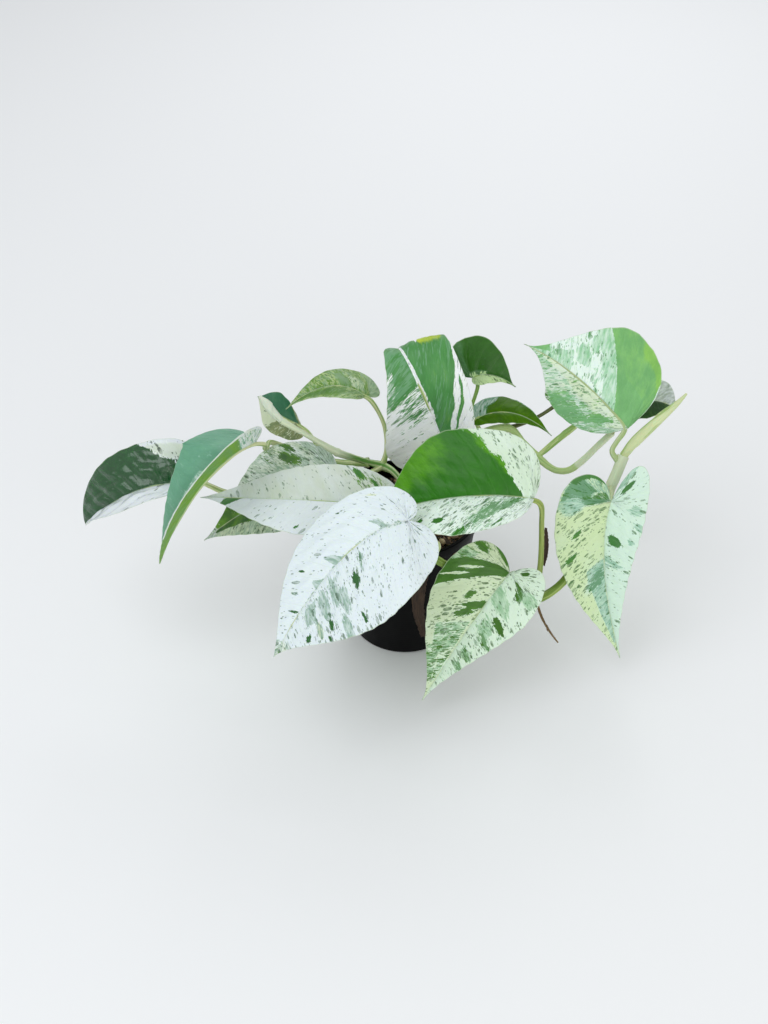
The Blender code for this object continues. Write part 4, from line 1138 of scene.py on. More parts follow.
# %% One half of a blade
VEIN_PITCH = 10.0
VEIN_LEVEL = 0.6
MIDRIB_GROOVE = 0.5
MIDRIB_WIDTH = 1.3
SWELL_WAVES = 6
SWELL_PITCH = (9.0, 17.0)
TIP_FADE = 6
TIP_SHARE = 0.999


def flat_half(spec, look, right, half, feet, reach, seed):
    """Points of a flat half, with their places along and across the veins and their paint."""
    travelled = np.cumsum(np.linalg.norm(np.diff(half, axis=0, prepend=half[:1] * 0), axis=1))
    grid = (len(half), len(reach))
    share = np.broadcast_to((travelled / travelled[-1])[:, None], grid)
    across = np.broadcast_to(travelled[:, None], grid)
    spread = np.broadcast_to(reach, grid)
    curve = VEIN_CURVE if spec["lobe"][right] > 0 else 1.0
    y = feet[:, None] + (half[:, 1:] - feet[:, None]) * reach**curve
    wobble = MARGIN_WOBBLE * np.sin(2 * math.pi * across / WOBBLE_PITCH + seed + right)
    x = half[:, :1] * reach + wobble * reach**3 * np.sin(math.pi * np.minimum(share, TIP_SHARE))
    along = np.hypot(x, y - feet[:, None])
    return x, y, share, spread, across, along, painted(look, right, share, spread, across, along)


def swelling(draw, x, y, size):
    """Soft uneven puckers, from a few waves at random angles."""
    total = np.zeros_like(x)
    for _ in range(SWELL_WAVES):
        turn = draw.uniform(0, math.pi)
        pitch = draw.uniform(*SWELL_PITCH)
        phase = draw.uniform(0, 2 * math.pi)
        total += np.sin(2 * math.pi * (x * math.cos(turn) + y * math.sin(turn)) / pitch + phase)
    return size * total / (SWELL_WAVES / 2)


def quilted(pucker, draw, x, share, spread, across, along):
    """How far the skin is raised between the veins, and sunk along the midrib."""
    veins = np.abs(np.sin(math.pi * across / VEIN_PITCH))
    fade = np.sin(math.pi * spread**0.8) ** 0.7 * np.minimum(1, TIP_FADE * (1 - share))
    quilt = pucker * (veins - VEIN_LEVEL) * fade
    quilt += swelling(draw, across, along, pucker) * fade
    return quilt - MIDRIB_GROOVE * np.exp(-((x / MIDRIB_WIDTH) ** 2))


def area_normals(points, squares):
    """The direction of the surface at each point of a mesh of squares."""
    corners = points[squares]
    areas = np.cross(corners[:, 2] - corners[:, 0], corners[:, 3] - corners[:, 1])
    normals = np.zeros_like(points)
    for k in range(4):
        np.add.at(normals, squares[:, k], areas)
    return unit(normals)


print("side veins lie", VEIN_PITCH, "mm apart in the quilting")

# %% [markdown]
# The surface becomes a leaf when it is copied up and down along its normals and closed
# round a rounded rim. Each corner of each face keeps its place in the map of veins and
# its paint, so that the finish finds them wherever the leaf bends.

# %% A closed blade
BLADE_HALF_THICKNESS = (0.40, 0.17)
RIM_REACH = 0.16
HALF_OFFSET = 400.0


def keep_values(mesh, name, kind, values, domain="POINT"):
    """Stores a value on each point or each face corner of a mesh."""
    field = {"FLOAT": "value", "FLOAT_VECTOR": "vector", "FLOAT_COLOR": "color"}[kind]
    kept = mesh.attributes.new(name, kind, domain)
    kept.data.foreach_set(field, np.array(values, np.float32).ravel())


def shell(points, squares, places, index, loop, thick):
    """Points and faces of a closed shell round a surface, and each corner's place on it."""
    normals = area_normals(points, squares)
    lift = normals * thick[:, None]
    ring = np.array([index[c] for c in loop])
    tangent = points[np.roll(ring, -1)] - points[np.roll(ring, 1)]
    rim = points[ring] + unit(np.cross(tangent, normals[ring])) * RIM_REACH
    count = len(points)
    faces = []
    corners = []
    for face, square in zip(places, squares.tolist()):
        kept = [k for k in range(4) if square[k] != square[k - 1]]
        for under, order in ((0, kept), (1, kept[::-1])):
            faces.append([square[k] + count * under for k in order])
            corners += [(*face[k], under) for k in order]
    for k in range(len(loop)):
        n = (k + 1) % len(loop)
        low, high = 2 * count + k, 2 * count + n
        faces += [[ring[n], ring[k], low, high], [high, low, ring[k] + count, ring[n] + count]]
        corners += [(*loop[c], under) for under in (0, 1) for c in (n, k, k, n)]
    return np.vstack([points + lift, points - lift, rim]), faces, corners


def add_maps(mesh, maps, corners):
    """The map of veins, the place on the leaf and the paint, at each face corner."""
    right, row, column, under = np.array(corners).T
    share, spread, across, along, paint = (np.stack(m)[right, row, column] for m in zip(*maps))
    veins = mesh.uv_layers.new(name="veins")
    veins.data.foreach_set("uv", np.column_stack([across, along]).astype(np.float32).ravel())
    keep_values(mesh, "wash", "FLOAT_COLOR", paint, "CORNER")
    keep_values(mesh, "place", "FLOAT_VECTOR", np.column_stack([share, spread, under]), "CORNER")


print("a blade is", 2 * BLADE_HALF_THICKNESS[0], "mm thick at its midrib")

# %% [markdown]
# One function now makes any blade. Points are closer near the midrib and the margin,
# where the leaf bends most, and small leaves get fewer of them. The two halves share
# the midrib's points, so that the leaf is one skin.

# %% The blades
BLADE_ROWS = 84
BLADE_COLUMNS = 26
SMALLEST_GRID = 0.45
FULL_GRID_GAIN = 160
FIRST_SEED = 40.0
SEED_STEP = 23.0


def blade(name, spec, look, seed):
    """The finer blade of one leaf, and its midrib."""
    rib = Midrib(spec)
    draw = random.Random(seed)
    size = min(1.0, SMALLEST_GRID + rib.length / FULL_GRID_GAIN)
    rows = round(BLADE_ROWS * size)
    columns = round(BLADE_COLUMNS * size)
    halves = [margin(spec, rib.length, right, rows) for right in (False, True)]
    feet = vein_feet(halves, rib.length)
    stops, stop_of = np.unique(feet, return_inverse=True)
    reach = (1 - np.cos(math.pi * np.arange(columns + 1) / columns)) / 2
    index = np.zeros((2, rows, columns + 1), int)
    index[:, :, :] = stop_of[None, :, None]
    points = [rib.frames(stops)[0]]
    relief = [np.full(len(stops), -MIDRIB_GROOVE)]
    thick = [np.full(len(stops), BLADE_HALF_THICKNESS[0])]
    margin_thick = BLADE_HALF_THICKNESS[1] - BLADE_HALF_THICKNESS[0]
    inner = (slice(0, rows - 1), slice(1, None))
    count = (rows - 1) * columns
    maps = []
    for right, half in enumerate(halves):
        x, y, share, spread, across, along, paint = flat_half(spec, look, right, half, feet, reach, seed)
        maps.append((share, spread, across + HALF_OFFSET * right, along, paint))
        index[right, :-1, 1:] = len(stops) + count * right + np.arange(count).reshape(rows - 1, columns)
        points.append(laid_out(spec, rib, x[inner], y[inner], bool(right)).reshape(-1, 3))
        quilt = quilted(look["pucker"], draw, x, share, spread, across, along)
        relief.append(quilt[inner].reshape(-1))
        thick.append((BLADE_HALF_THICKNESS[0] + margin_thick * spread**2)[inner].reshape(-1))
    points = np.vstack(points)
    places = []
    for right in (0, 1):
        for i in range(rows - 1):
            for k in range(columns):
                square = [(i, k), (i, k + 1), (i + 1, k + 1), (i + 1, k)]
                places.append([(right, *c) for c in (square if right else square[::-1])])
    squares = np.array([[index[c] for c in face] for face in places])
    points = points + np.concatenate(relief)[:, None] * area_normals(points, squares)
    loop = [(0, i, columns) for i in range(rows - 1, -1, -1)]
    loop += [(0, 0, k) for k in range(columns - 1, 0, -1)]
    loop += [(1, 0, k) for k in range(0, columns + 1)]
    loop += [(1, i, columns) for i in range(1, rows - 1)]
    solid, faces, corners = shell(points, squares, places, index, loop, np.concatenate(thick))
    mesh = plain_mesh(name, solid, faces)
    mesh.shade_smooth()
    add_maps(mesh, maps, corners)
    return mesh, rib


def add_piece(name, mesh, slot, *nodes):
    """Puts a finished mesh in the scene, on the one body, in place of its CAD nodes."""
    made = placed(name, mesh)
    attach(made, "root")
    if nodes:
        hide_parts(*nodes)
    return made


ribs = {}
for number, (name, spec) in enumerate(LEAVES.items()):
    look = LOOKS[name]
    mesh, ribs[name] = blade(name + "_blade", spec, look, number)
    mesh.materials.append(leaf_finish(name + "_marble", FIRST_SEED + SEED_STEP * number, look))
    add_piece(name + "_blade", mesh, "leaf", name)
    print(mesh.name, len(mesh.polygons), "faces")

# %% [markdown]
# Stems, leaf stalks and roots are all one thing to a maker: a skin grown along a path
# that swells and thins. A Geometry Nodes tree does it for every one of them. It
# sweeps a ridged ring along the path, scaled by the path's own radius, roughens the
# skin with a noise, and stores where each point lies round and along the tube, so
# that the stripes of the finish run along the stem wherever it bends.

# %% A tube grown along a path
TUBE_SIZES = {"Sides": 18, "Ridges": 0, "Ridge Depth": 0.0, "Knobble": 0.0, "Knobble Size": 300.0}


def captured(work, geometry, kind, value):
    """Keeps a value on each point before the shape changes."""
    made = work.add("GeometryNodeCaptureAttribute")
    made.capture_items.new(kind, "Kept")
    work.fed(made, {0: geometry, 1: value})
    return made.outputs[0], made.outputs[1]


def stored(work, geometry, name, value, kind, domain="POINT"):
    """A shape that carries a named value."""
    return work.first(
        "GeometryNodeStoreNamedAttribute", {"Geometry": geometry, "Name": name, "Value": value},
        data_type=kind, domain=domain,
    )


def moved(work, geometry, inputs):
    return work.first("GeometryNodeSetPosition", {"Geometry": geometry, **inputs})


grown_tube, work, given, result = new_group(
    "grown_tube", "GeometryNodeTree", {"Path": "Geometry", **TUBE_SIZES, "Finish": "Material"},
    {"Mesh": "Geometry"},
)
length_along = work.add("GeometryNodeSplineParameter").outputs["Length"]
path, along = captured(work, given["Path"], "FLOAT", length_along)
circle = work.add("GeometryNodeCurvePrimitiveCircle", {"Resolution": given["Sides"], "Radius": 1.0})
spot = work.first("GeometryNodeInputPosition")
profile, round_spot = captured(work, circle.outputs["Curve"], "VECTOR", spot)
axes = work.split(spot)
turn = work.math("ARCTAN2", axes[1], axes[0])
wave = work.math("COSINE", work.math("MULTIPLY", turn, given["Ridges"]))
swell = work.math("MULTIPLY_ADD", wave, given["Ridge Depth"], 1.0)
profile = moved(work, profile, {"Position": work.scaled(spot, swell)})
skin = work.first("GeometryNodeCurveToMesh", {
    "Curve": path, "Profile Curve": profile, "Scale": work.first("GeometryNodeInputRadius"),
    "Fill Caps": True,
})
lumps = work.first("ShaderNodeTexNoise", {"Vector": spot, "Scale": given["Knobble Size"], "Detail": 2.0})
push = work.math("MULTIPLY", work.math("SUBTRACT", lumps, 0.5), given["Knobble"])
skin = moved(work, skin, {"Offset": work.scaled(work.first("GeometryNodeInputNormal"), push)})
turned = work.split(round_spot)
skin = stored(work, skin, "strand", work.xyz(turned[0], turned[1], along), "FLOAT_VECTOR")
skin = work.first("GeometryNodeSetShadeSmooth", {"Geometry": skin})
skin = work.first("GeometryNodeRealizeInstances", {"Geometry": skin})
skin = work.first("GeometryNodeSetMaterial", {"Geometry": skin, "Material": given["Finish"]})
work.wire(skin, result["Mesh"])
print("the tube tree has", len(grown_tube.nodes), "nodes")

# %% [markdown]
# A modifier's inputs go by identifiers, so one function looks them up by name, sets
# them, takes the evaluated mesh and throws the modifier away. What is left is a plain
# mesh that can be exported. A path is drawn as a smooth curve through a few rows of
# place and radius.

# %% From a tree to a plain mesh
PATH_STEP = 1.6


def applied(name, source, tree, values):
    """The mesh that a Geometry Nodes tree makes of an object, which is then removed."""
    modifier = source.modifiers.new(tree.name, "NODES")
    modifier.node_group = tree
    for item in tree.interface.items_tree:
        if item.in_out == "INPUT" and item.name in values:
            modifier[item.identifier] = values[item.name]
    graph = bpy.context.evaluated_depsgraph_get()
    mesh = bpy.data.meshes.new_from_object(source.evaluated_get(graph))
    mesh.name = name
    source.modifiers.remove(modifier)
    bpy.data.objects.remove(source, do_unlink=True)
    return mesh


def smooth_path(points, step):
    """Points about a step apart on a smooth curve through the given rows of values."""
    rows = np.array(points, float)
    ends = np.vstack([2 * rows[0] - rows[1], rows, 2 * rows[-1] - rows[-2]])
    path = []
    for i in range(1, len(ends) - 2):
        a, b, c, d = ends[i - 1 : i + 3]
        count = max(1, round(np.linalg.norm((c - b)[:3]) / step))
        for t in np.arange(count) / count:
            path.append(0.5 * (
                2 * b + (c - a) * t + (2 * a - 5 * b + 4 * c - d) * t**2 + (3 * b - 3 * c + d - a) * t**3
            ))
    return np.array([*path, rows[-1]])


def grown(name, rows, finish, **sizes):
    """A tube along rows of x, y, z and radius."""
    curve = bpy.data.curves.new("path", "CURVE")
    curve.dimensions = "3D"
    spline = curve.splines.new("POLY")
    spline.points.add(len(rows) - 1)
    for point, row in zip(spline.points, rows):
        point.co = (*(row[:3] * MM), 1.0)
        point.radius = row[3] * MM
    sizes = {key.replace("_", " "): value for key, value in sizes.items()}
    return applied(name, placed("path", curve), grown_tube, {**TUBE_SIZES, **sizes, "Finish": finish})


print("a path has a point about every", PATH_STEP, "mm")

# %% [markdown]
# These are the paths of the stems, shoots, roots and sheaths, as in the CAD solids:
# rows of a place and a radius. A sheath's rows give half its width in place of the
# radius, and it lies with its width along one direction.

# %% The paths
STEMS = {
    "vine_left": [
        (6, 20, 84, 2.2), (2, 27, 98, 2.3), (-7, 36, 108, 2.4), (-16, 42, 110, 3.1),
        (-26, 40, 115, 2.3), (-36, 35, 123, 2.3), (-48, 29, 133, 2.8),
        (-62, 28, 144, 2), (-74, 28, 153, 1.9), (-86, 29, 161, 2.4),
    ],
    "vine_right": [
        (4, -30, 84, 2.4), (5, -36, 98, 2.5), (8, -46, 110.5, 2.7), (14, -55, 113, 3.2),
        (26, -60, 108, 2.7), (44, -56, 92, 2.7), (64, -51, 74, 2.8), (78, -48, 66, 3),
        (91, -45, 61, 3.3), (104, -39, 64, 2.9), (114, -33, 73, 2.8), (126, -22, 93, 2.9),
        (135, -11, 112, 3.4), (140, -4, 124, 3.9), (146, 4, 136, 3.9), (150, 10, 145, 4.2),
    ],
    "vine_back": [
        (32, 18, 84, 2.2), (34, 23, 98, 2.2), (37, 32, 111, 2.3), (42, 48, 117, 2.3),
        (56, 66, 121, 2.5), (76, 71, 122, 2.9), (87, 63, 115, 2.2), (97, 55, 108, 2.9),
        (108, 47, 103, 2.4), (118, 43, 105, 2.5), (127, 44, 112, 2.5),
        (138, 45, 126, 2.4), (147, 45, 138, 2.4),
    ],
    "vine_low_left": [
        (-22, -12, 84, 2.2), (-27, -14, 98, 2.2), (-42, -13, 114, 2.3),
        (-68, -12, 124.5, 2.2), (-96, -8, 122, 2.1), (-114, -3, 119, 2.6),
    ],
    "vine_centre": [
        (4, -8, 84, 2.6), (5, -3, 98, 2.8), (6, 2, 106, 3), (4, 7, 113, 2),
    ],
}
SHOOTS = {
    "new_leaf_right": [
        (150, 10, 145, 2.9), (157, 13, 155, 3.6), (166, 14.5, 166, 3.6),
        (175, 17, 175, 3), (184, 21, 182, 1.9), (190, 25, 187, 0.7),
    ],
    "new_leaf_left": [
        (-86, 29, 161, 2.2), (-91, 31, 166, 2.9), (-96, 35, 170.5, 3.2), (-101, 39, 174.5, 1),
    ],
    "new_leaf_back": [
        (97, 55, 108, 1.9), (111, 62, 118, 2.4), (124, 66, 128, 2.2), (133, 69, 137, 0.8),
    ],
}
ROOTS = {
    "aerial_root": [
        (91, -45, 61, 1.1), (95, -52, 51, 0.9), (101, -58, 42, 0.8), (107, -62, 35, 0.5),
    ],
    "rim_root": [
        (14, -55, 113, 0.6), (9, -54.8, 103, 0.6), (7, -53.8, 93, 0.6),
        (5, -52.8, 85, 0.6), (5, -51.6, 78, 0.5), (2, -51, 72, 0.5),
    ],
}
SHEATHS = {
    "dry_sheath_pot": dict(
        rows=[(15.5, -54.6, 109.4, 1), (15, -54, 103, 1), (14.5, -53, 96, 1.2),
              (12, -50.8, 84, 2.6), (9, -49, 70, 4.6), (9, -47.4, 54, 4.4),
              (11, -45.8, 38, 3.4), (13, -43.4, 22, 1.6)],
        across=(1, -0.1, 0),
    ),
    "dry_sheath_stalk": dict(
        rows=[(93.6, -45.4, 128, 0.8), (94.9, -44.4, 116, 1.5), (95.5, -43.8, 104, 1.6),
              (94.8, -43.6, 92, 0.8)],
        across=(1, 0.1, 0),
    ),
}

print(len(STEMS), "stems,", len(SHOOTS), "shoots,", len(ROOTS), "roots and", len(SHEATHS), "sheaths")

# %% [markdown]
# Stems and stalks are green with long pale stripes, and paler where they are young.
# The stripes are a noise in the strand map, which is read many times finer round the
# stem than along it.

# %% The stem finish
FINE_FACTORS = (5.0, 5.0, 6.0)
PALE_STEM = tone(222, 232, 202)
PALE_SHARE = 0.85
STEM_RELIEF = (0.5, 0.0004)
STEM_BODY = {"Subsurface_Weight": 0.1, "Subsurface_Scale": 0.0015, "Specular_IOR_Level": 0.3}

streaks, work, given, result = new_group(
    "streaks", "ShaderNodeTree",
    {"Strand": "Vector", "Seed": 0.0, "Round": 1.2, "Along": 14.0, "Share": 0.5, "Soft": 0.08},
    {"Stripe": "Float", "Fine": "Float"},
)
factors = work.xyz(given["Round"], given["Round"], given["Along"])
place = work.vector("MULTIPLY", given["Strand"], factors)
place = work.vector("ADD", place, work.xyz(*[given["Seed"]] * 3))
ends = [work.math(way, given["Share"], given["Soft"]) for way in ("SUBTRACT", "ADD")]
work.wire(work.step(work.noise(place, 1.0, 4.0, 0.6), *ends), result["Stripe"])
fine = work.noise(work.vector("MULTIPLY", place, FINE_FACTORS), 1.0, 3.0, 0.6)
work.wire(fine, result["Fine"])


def stem_finish(name, seed, main, stripe, share=0.5, rough=0.42, round_by=1.2, along_by=14.0, pale=None):
    """A striped skin, which may turn pale from one distance along the stem to another."""
    made, work, shader = new_material(name, **STEM_BODY)
    strand = work.attribute("strand")["Vector"]
    lines = work.group(streaks, {
        "Strand": strand, "Seed": seed, "Share": share, "Round": round_by, "Along": along_by,
    })
    colour = work.mix(lines["Stripe"], main, stripe)
    if pale:
        faded = work.math("MULTIPLY", work.step(work.split(strand)[2], *pale), PALE_SHARE)
        colour = work.mix(faded, colour, PALE_STEM)
    colour = work.shaded(colour, work.span(lines["Fine"], 0.82, 1.14))
    skin = work.span(lines["Fine"], rough - 0.08, rough + 0.1)
    dress(work, shader, colour, skin, lines["Fine"], *STEM_RELIEF)
    return made


print("the streaks have", len(streaks.nodes), "nodes")

# %% [markdown]
# The stems keep the paths of the CAD solids. At each joint, where a leaf or a shoot
# leaves it, a real stem has a raised ring, so the radius gets a narrow ridge there.
# Three stems turn pale towards their young ends, between two shares of their length.

# %% The stems
STEM_COLOURS = {
    "vine_left": (tone(96, 150, 62), tone(196, 212, 160), 0.55),
    "vine_right": (tone(112, 142, 52), tone(166, 186, 104), 0.55),
    "vine_back": (tone(106, 160, 60), tone(184, 208, 140), 0.34),
    "vine_low_left": (tone(112, 142, 74), tone(170, 190, 130), 0.5),
    "vine_centre": (tone(126, 162, 84), tone(205, 215, 165), 0.5),
}
PALE_PARTS = {"vine_left": (0.5, 0.66), "vine_right": (0.7, 0.84), "vine_back": (0.81, 0.825)}
STEM_SHAPE = {"Sides": 28, "Ridges": 5, "Ridge_Depth": 0.03, "Knobble": 0.0005}
JOINT_LEAST = 2.7
RING_HEIGHT = 0.16
RING_WIDTH = 1.1


def ringed(rows, joints):
    """Raises the radius in a narrow ring at each joint of a stem."""
    for joint in joints:
        gap = np.linalg.norm(rows[:, :3] - np.array(joint[:3], float), axis=1)
        rows[:, 3] *= 1 + RING_HEIGHT * np.exp(-((gap / RING_WIDTH) ** 2))
    return rows


for number, (name, rows) in enumerate(STEMS.items()):
    peaks = zip(rows, rows[1:], rows[2:])
    joints = [row for before, row, after in peaks if row[3] > max(before[3], JOINT_LEAST)]
    path = ringed(smooth_path(rows, PATH_STEP), joints)
    length = PATH_STEP * len(path) * MM
    pale = [length * part for part in PALE_PARTS[name]] if name in PALE_PARTS else None
    finish = stem_finish(name + "_skin", 3.0 + number, *STEM_COLOURS[name], pale=pale)
    mesh = grown(name + "_stem", path, finish, **STEM_SHAPE)
    add_piece(name + "_stem", mesh, "stem", name)
    print(name, "has", len(joints), "raised joints and", len(mesh.polygons), "faces")

# %% [markdown]
# A leaf stalk leaves its stem with a wide, clasping base, thins, and thickens again
# just before the blade, where the real leaf bends to face the light. It then runs on
# under the blade as the rib that can be felt there.

# %% The leaf stalks and ribs
RIB_REACH = 0.72
RIB_END_RADIUS = 0.5
RIB_CLEAR = 0.1
RIB_TIP = (0.95, 0.25, 0.2)
RIB_STOPS = (0.04, 0.2, 0.4, RIB_REACH)
STALK_SWELL = 0.12
BASE_FLARE = 0.35
KNEE_SWELL = 0.2
KNEE_LENGTH = 7.0
SEAT_LENGTH = 5.0
STALK_COLOURS = (tone(150, 180, 104), tone(216, 222, 172))


def stalk_rows(spec, rib):
    """Rows of the stalk from its stem to the blade, and on under the midrib."""
    radius = spec["stalk_radius"]
    rows = [(*p, radius * (1.0 + STALK_SWELL * k)) for k, p in enumerate(spec["stalk"])][::-1]
    stops = []
    for share in RIB_STOPS:
        thin = radius + (RIB_END_RADIUS - radius) * share / RIB_REACH
        stops.append((share, thin + RIB_CLEAR, thin))
    for share, drop, thin in (*stops, RIB_TIP):
        centre, _, up = (v[0] for v in rib.frames([share * rib.length]))
        rows.append((*(centre - up * drop), thin))
    path = smooth_path(rows, PATH_STEP)
    distance = walked(path[:, :3])
    knee = np.argmin(np.linalg.norm(path[:, :3] - np.array(spec["stalk"][0], float), axis=1))
    path[:, 3] *= 1 + BASE_FLARE * np.exp(-((distance / SEAT_LENGTH) ** 2))
    path[:, 3] *= 1 + KNEE_SWELL * np.exp(-(((distance - distance[knee]) / KNEE_LENGTH) ** 2))
    return path


for number, (name, spec) in enumerate(LEAVES.items()):
    colours = LOOKS[name].get("stalk", STALK_COLOURS)
    finish = stem_finish(name + "_stalk_skin", 11.0 + number, *colours, rough=0.4)
    mesh = grown(name + "_stalk", stalk_rows(spec, ribs[name]), finish, Sides=16)
    add_piece(name + "_stalk", mesh, "leaf", name)
print(len(LEAVES), "stalks")

# %% [markdown]
# A new leaf comes out rolled like a scroll: its cross-section is a spiral, and the
# free edge winds slowly up the spear. A tube with a plain round section would miss
# that edge, so these rings are spirals whose ends step over each other.

# %% The furled new leaves
SCROLL_SIDES = 40
SCROLL_STEP = 0.16
SCROLL_TWIST = 1.3
SCROLL_SHARE = 0.5
SCROLL_FIRST_SIDE = (0.31, 0.45, 0.84)
SCROLL_EDGE_ANGLE = 50
SHOOT_STEP = 1.2
SHOOT_COLOURS = {
    "new_leaf_right": (tone(208, 220, 168), tone(158, 188, 108), 0.58),
    "new_leaf_left": (tone(214, 224, 204), tone(178, 198, 156), 0.62),
    "new_leaf_back": (tone(148, 182, 100), tone(208, 220, 156), 0.55),
}


def grid_faces(rings, sides, closed):
    """The faces between rings of points, which may close round."""
    faces = []
    for ring in range(rings - 1):
        for k in range(sides if closed else sides - 1):
            a, b = (ring * sides + n for n in (k, (k + 1) % sides))
            faces.append((a, b, b + sides, a + sides))
    return faces


def skinned(name, points, faces, strand, finish):
    """A smooth mesh with its strand map and its finish."""
    mesh = plain_mesh(name, points, faces)
    mesh.shade_smooth()
    keep_values(mesh, "strand", "FLOAT_VECTOR", strand)
    mesh.materials.append(finish)
    return mesh


def scroll(name, rows, finish):
    """A closed spear whose section is a spiral with an overlapping edge."""
    path = smooth_path(rows, SHOOT_STEP)
    along = unit(np.gradient(path[:, :3], axis=0))
    side = unit(np.cross(along[0], SCROLL_FIRST_SIDE))
    distance = walked(path[:, :3])
    points = []
    strand = []
    for row, way, length in zip(path, along, distance):
        side = unit(side - way * side.dot(way))
        other = np.cross(way, side)
        start = 2 * math.pi * SCROLL_TWIST * length / distance[-1]
        for part in np.arange(SCROLL_SIDES) / (SCROLL_SIDES - 1):
            turn = start + 2 * math.pi * part * (1 - 0.5 / SCROLL_SIDES)
            reach = row[3] * (1 - SCROLL_STEP * SCROLL_SHARE + SCROLL_STEP * part)
            points.append(row[:3] + reach * (math.cos(turn) * side + math.sin(turn) * other))
            strand.append((math.cos(turn), math.sin(turn), length * MM))
    faces = grid_faces(len(path), SCROLL_SIDES, True)
    faces.append(tuple(reversed(range(SCROLL_SIDES))))
    faces.append(tuple(range((len(path) - 1) * SCROLL_SIDES, len(path) * SCROLL_SIDES)))
    mesh = skinned(name, points, faces, strand, finish)
    mesh.set_sharp_from_angle(angle=math.radians(SCROLL_EDGE_ANGLE))
    return mesh


for number, (name, rows) in enumerate(SHOOTS.items()):
    finish = stem_finish(name + "_skin", 31.0 + number, *SHOOT_COLOURS[name], 0.38, 0.9, 30.0)
    add_piece(name + "_scroll", scroll(name + "_scroll", rows, finish), "new_leaf", name)
    print(name, "is", round(np.linalg.norm(np.subtract(rows[-1][:3], rows[0][:3]))), "mm long")

# %% [markdown]
# Roots that grow in the air are brown, dry and a little kinked. A few short side roots
# leave each of them, so that they don't look like wire.

# %% The roots
ROOT_STEP = 1.0
SIDE_ROOTS = 3
SIDE_REACH = (3.0, 6.0)
SIDE_HOOK = (0.6, -0.2, 0.3)
ROOT_SHAPE = {"Sides": 10, "Knobble": 0.0006, "Knobble_Size": 500.0}
ROOT_COLOURS = {
    "aerial_root": (tone(92, 72, 46), tone(140, 118, 80)),
    "rim_root": (tone(120, 100, 70), tone(168, 150, 112)),
}


def root_paths(rows, seed):
    """The main root and a few short hairs that leave it."""
    main = smooth_path(rows, ROOT_STEP)
    draw = random.Random(seed)
    paths = [main]
    for _ in range(SIDE_ROOTS):
        start = main[draw.randrange(len(main) // 4, len(main) - 2)]
        turn = draw.uniform(0, 2 * math.pi)
        reach = draw.uniform(*SIDE_REACH)
        way = np.array([math.cos(turn) * 0.5, -abs(math.sin(turn)) * 0.3, -0.8]) * reach
        thin = start[3] * 0.35
        foot = start[:3]
        hair = [(*foot, thin), (*(foot + way * 0.5), thin * 0.8), (*(foot + way + SIDE_HOOK), thin * 0.4)]
        paths.append(smooth_path(hair, ROOT_STEP))
    return paths


def joined(name, meshes):
    """Several plain meshes as one, with their attributes and materials."""
    objects = [placed(mesh.name, mesh) for mesh in meshes]
    for made in objects:
        made.select_set(True)
    bpy.context.view_layer.objects.active = objects[0]
    bpy.ops.object.join()
    mesh = objects[0].data
    bpy.data.objects.remove(objects[0], do_unlink=True)
    mesh.name = name
    return mesh


bpy.ops.object.select_all(action="DESELECT")
for number, (name, rows) in enumerate(ROOTS.items()):
    finish = stem_finish(name + "_skin", 51.0 + number, *ROOT_COLOURS[name], rough=0.7)
    tubes = [grown(name, path, finish, **ROOT_SHAPE) for path in root_paths(rows, number)]
    add_piece(name + "_strands", joined(name + "_strands", tubes), "root", name)
    print(name, "has", len(tubes), "strands")

# %% [markdown]
# A sheath is what is left of a leaf's wrapping: a strip of brown paper whose edges
# curl in and fray. It is a thin sheet with a curled section, closed by Solidify. Its
# browns are the sheath's own, made darker still as painted shade.

# %% The dry sheaths
SHEATH_STEP = 1.5
SHEATH_COLUMNS = 10
SHEATH_CURL = 1.1
SHEATH_RIPPLE = 0.25
SHEATH_FRAY = 0.5
SHEATH_THICKNESS = 0.35
SHEATH_SHIFT = {"dry_sheath_stalk": -0.8}
PAPER = {"Round": 4.0, "Along": 60.0, "Share": 0.5, "Soft": 0.2}
# Browns darker than the sheath's own: painted shade.
SHADED_PAPER_COLOURS = (tone(42, 29, 20), tone(88, 64, 44), tone(44, 28, 18))
PAPER_RELIEF = (0.9, 0.0006)

sheath_paper, work, shader = new_material("sheath_paper")
lines = work.group(streaks, {"Strand": work.attribute("strand")["Vector"], **PAPER})
colour = work.mix(lines["Stripe"], *SHADED_PAPER_COLOURS[:2])
colour = work.mix(work.span(lines["Fine"], 0.0, 0.6), colour, SHADED_PAPER_COLOURS[2])
dress(work, shader, colour, work.span(lines["Fine"], 0.65, 0.9), lines["Fine"], *PAPER_RELIEF)


def strip(name, spec, shift, seed):
    """A curled strip with frayed edges along a sheath's path."""
    draw = random.Random(seed)
    across = unit(np.array(spec["across"], float))
    path = smooth_path(spec["rows"], SHEATH_STEP)
    sides = 2 * np.arange(SHEATH_COLUMNS + 1) / SHEATH_COLUMNS - 1
    points = []
    strand = []
    for number, row in enumerate(path):
        outward = unit(np.array([row[0] * 0.1, row[1], 0.0]))
        frayed = SHEATH_FRAY * min(1.0, row[3] / 3)
        fray = [draw.uniform(-frayed, frayed) for _ in range(2)]
        for side in sides:
            edge = fray[int(side > 0)] * abs(side) ** 4 - 0.08 * row[3] * side**4
            lift = SHEATH_CURL * side**2 + SHEATH_RIPPLE * math.sin(number * 0.9 + 4 * side)
            aside = side * row[3] + edge * np.sign(side) + shift
            points.append(row[:3] + across * aside + outward * lift * 0.8)
            strand.append((side, 0.0, number * SHEATH_STEP * MM))
    faces = grid_faces(len(path), SHEATH_COLUMNS + 1, False)
    return skinned(name, points, faces, strand, sheath_paper)


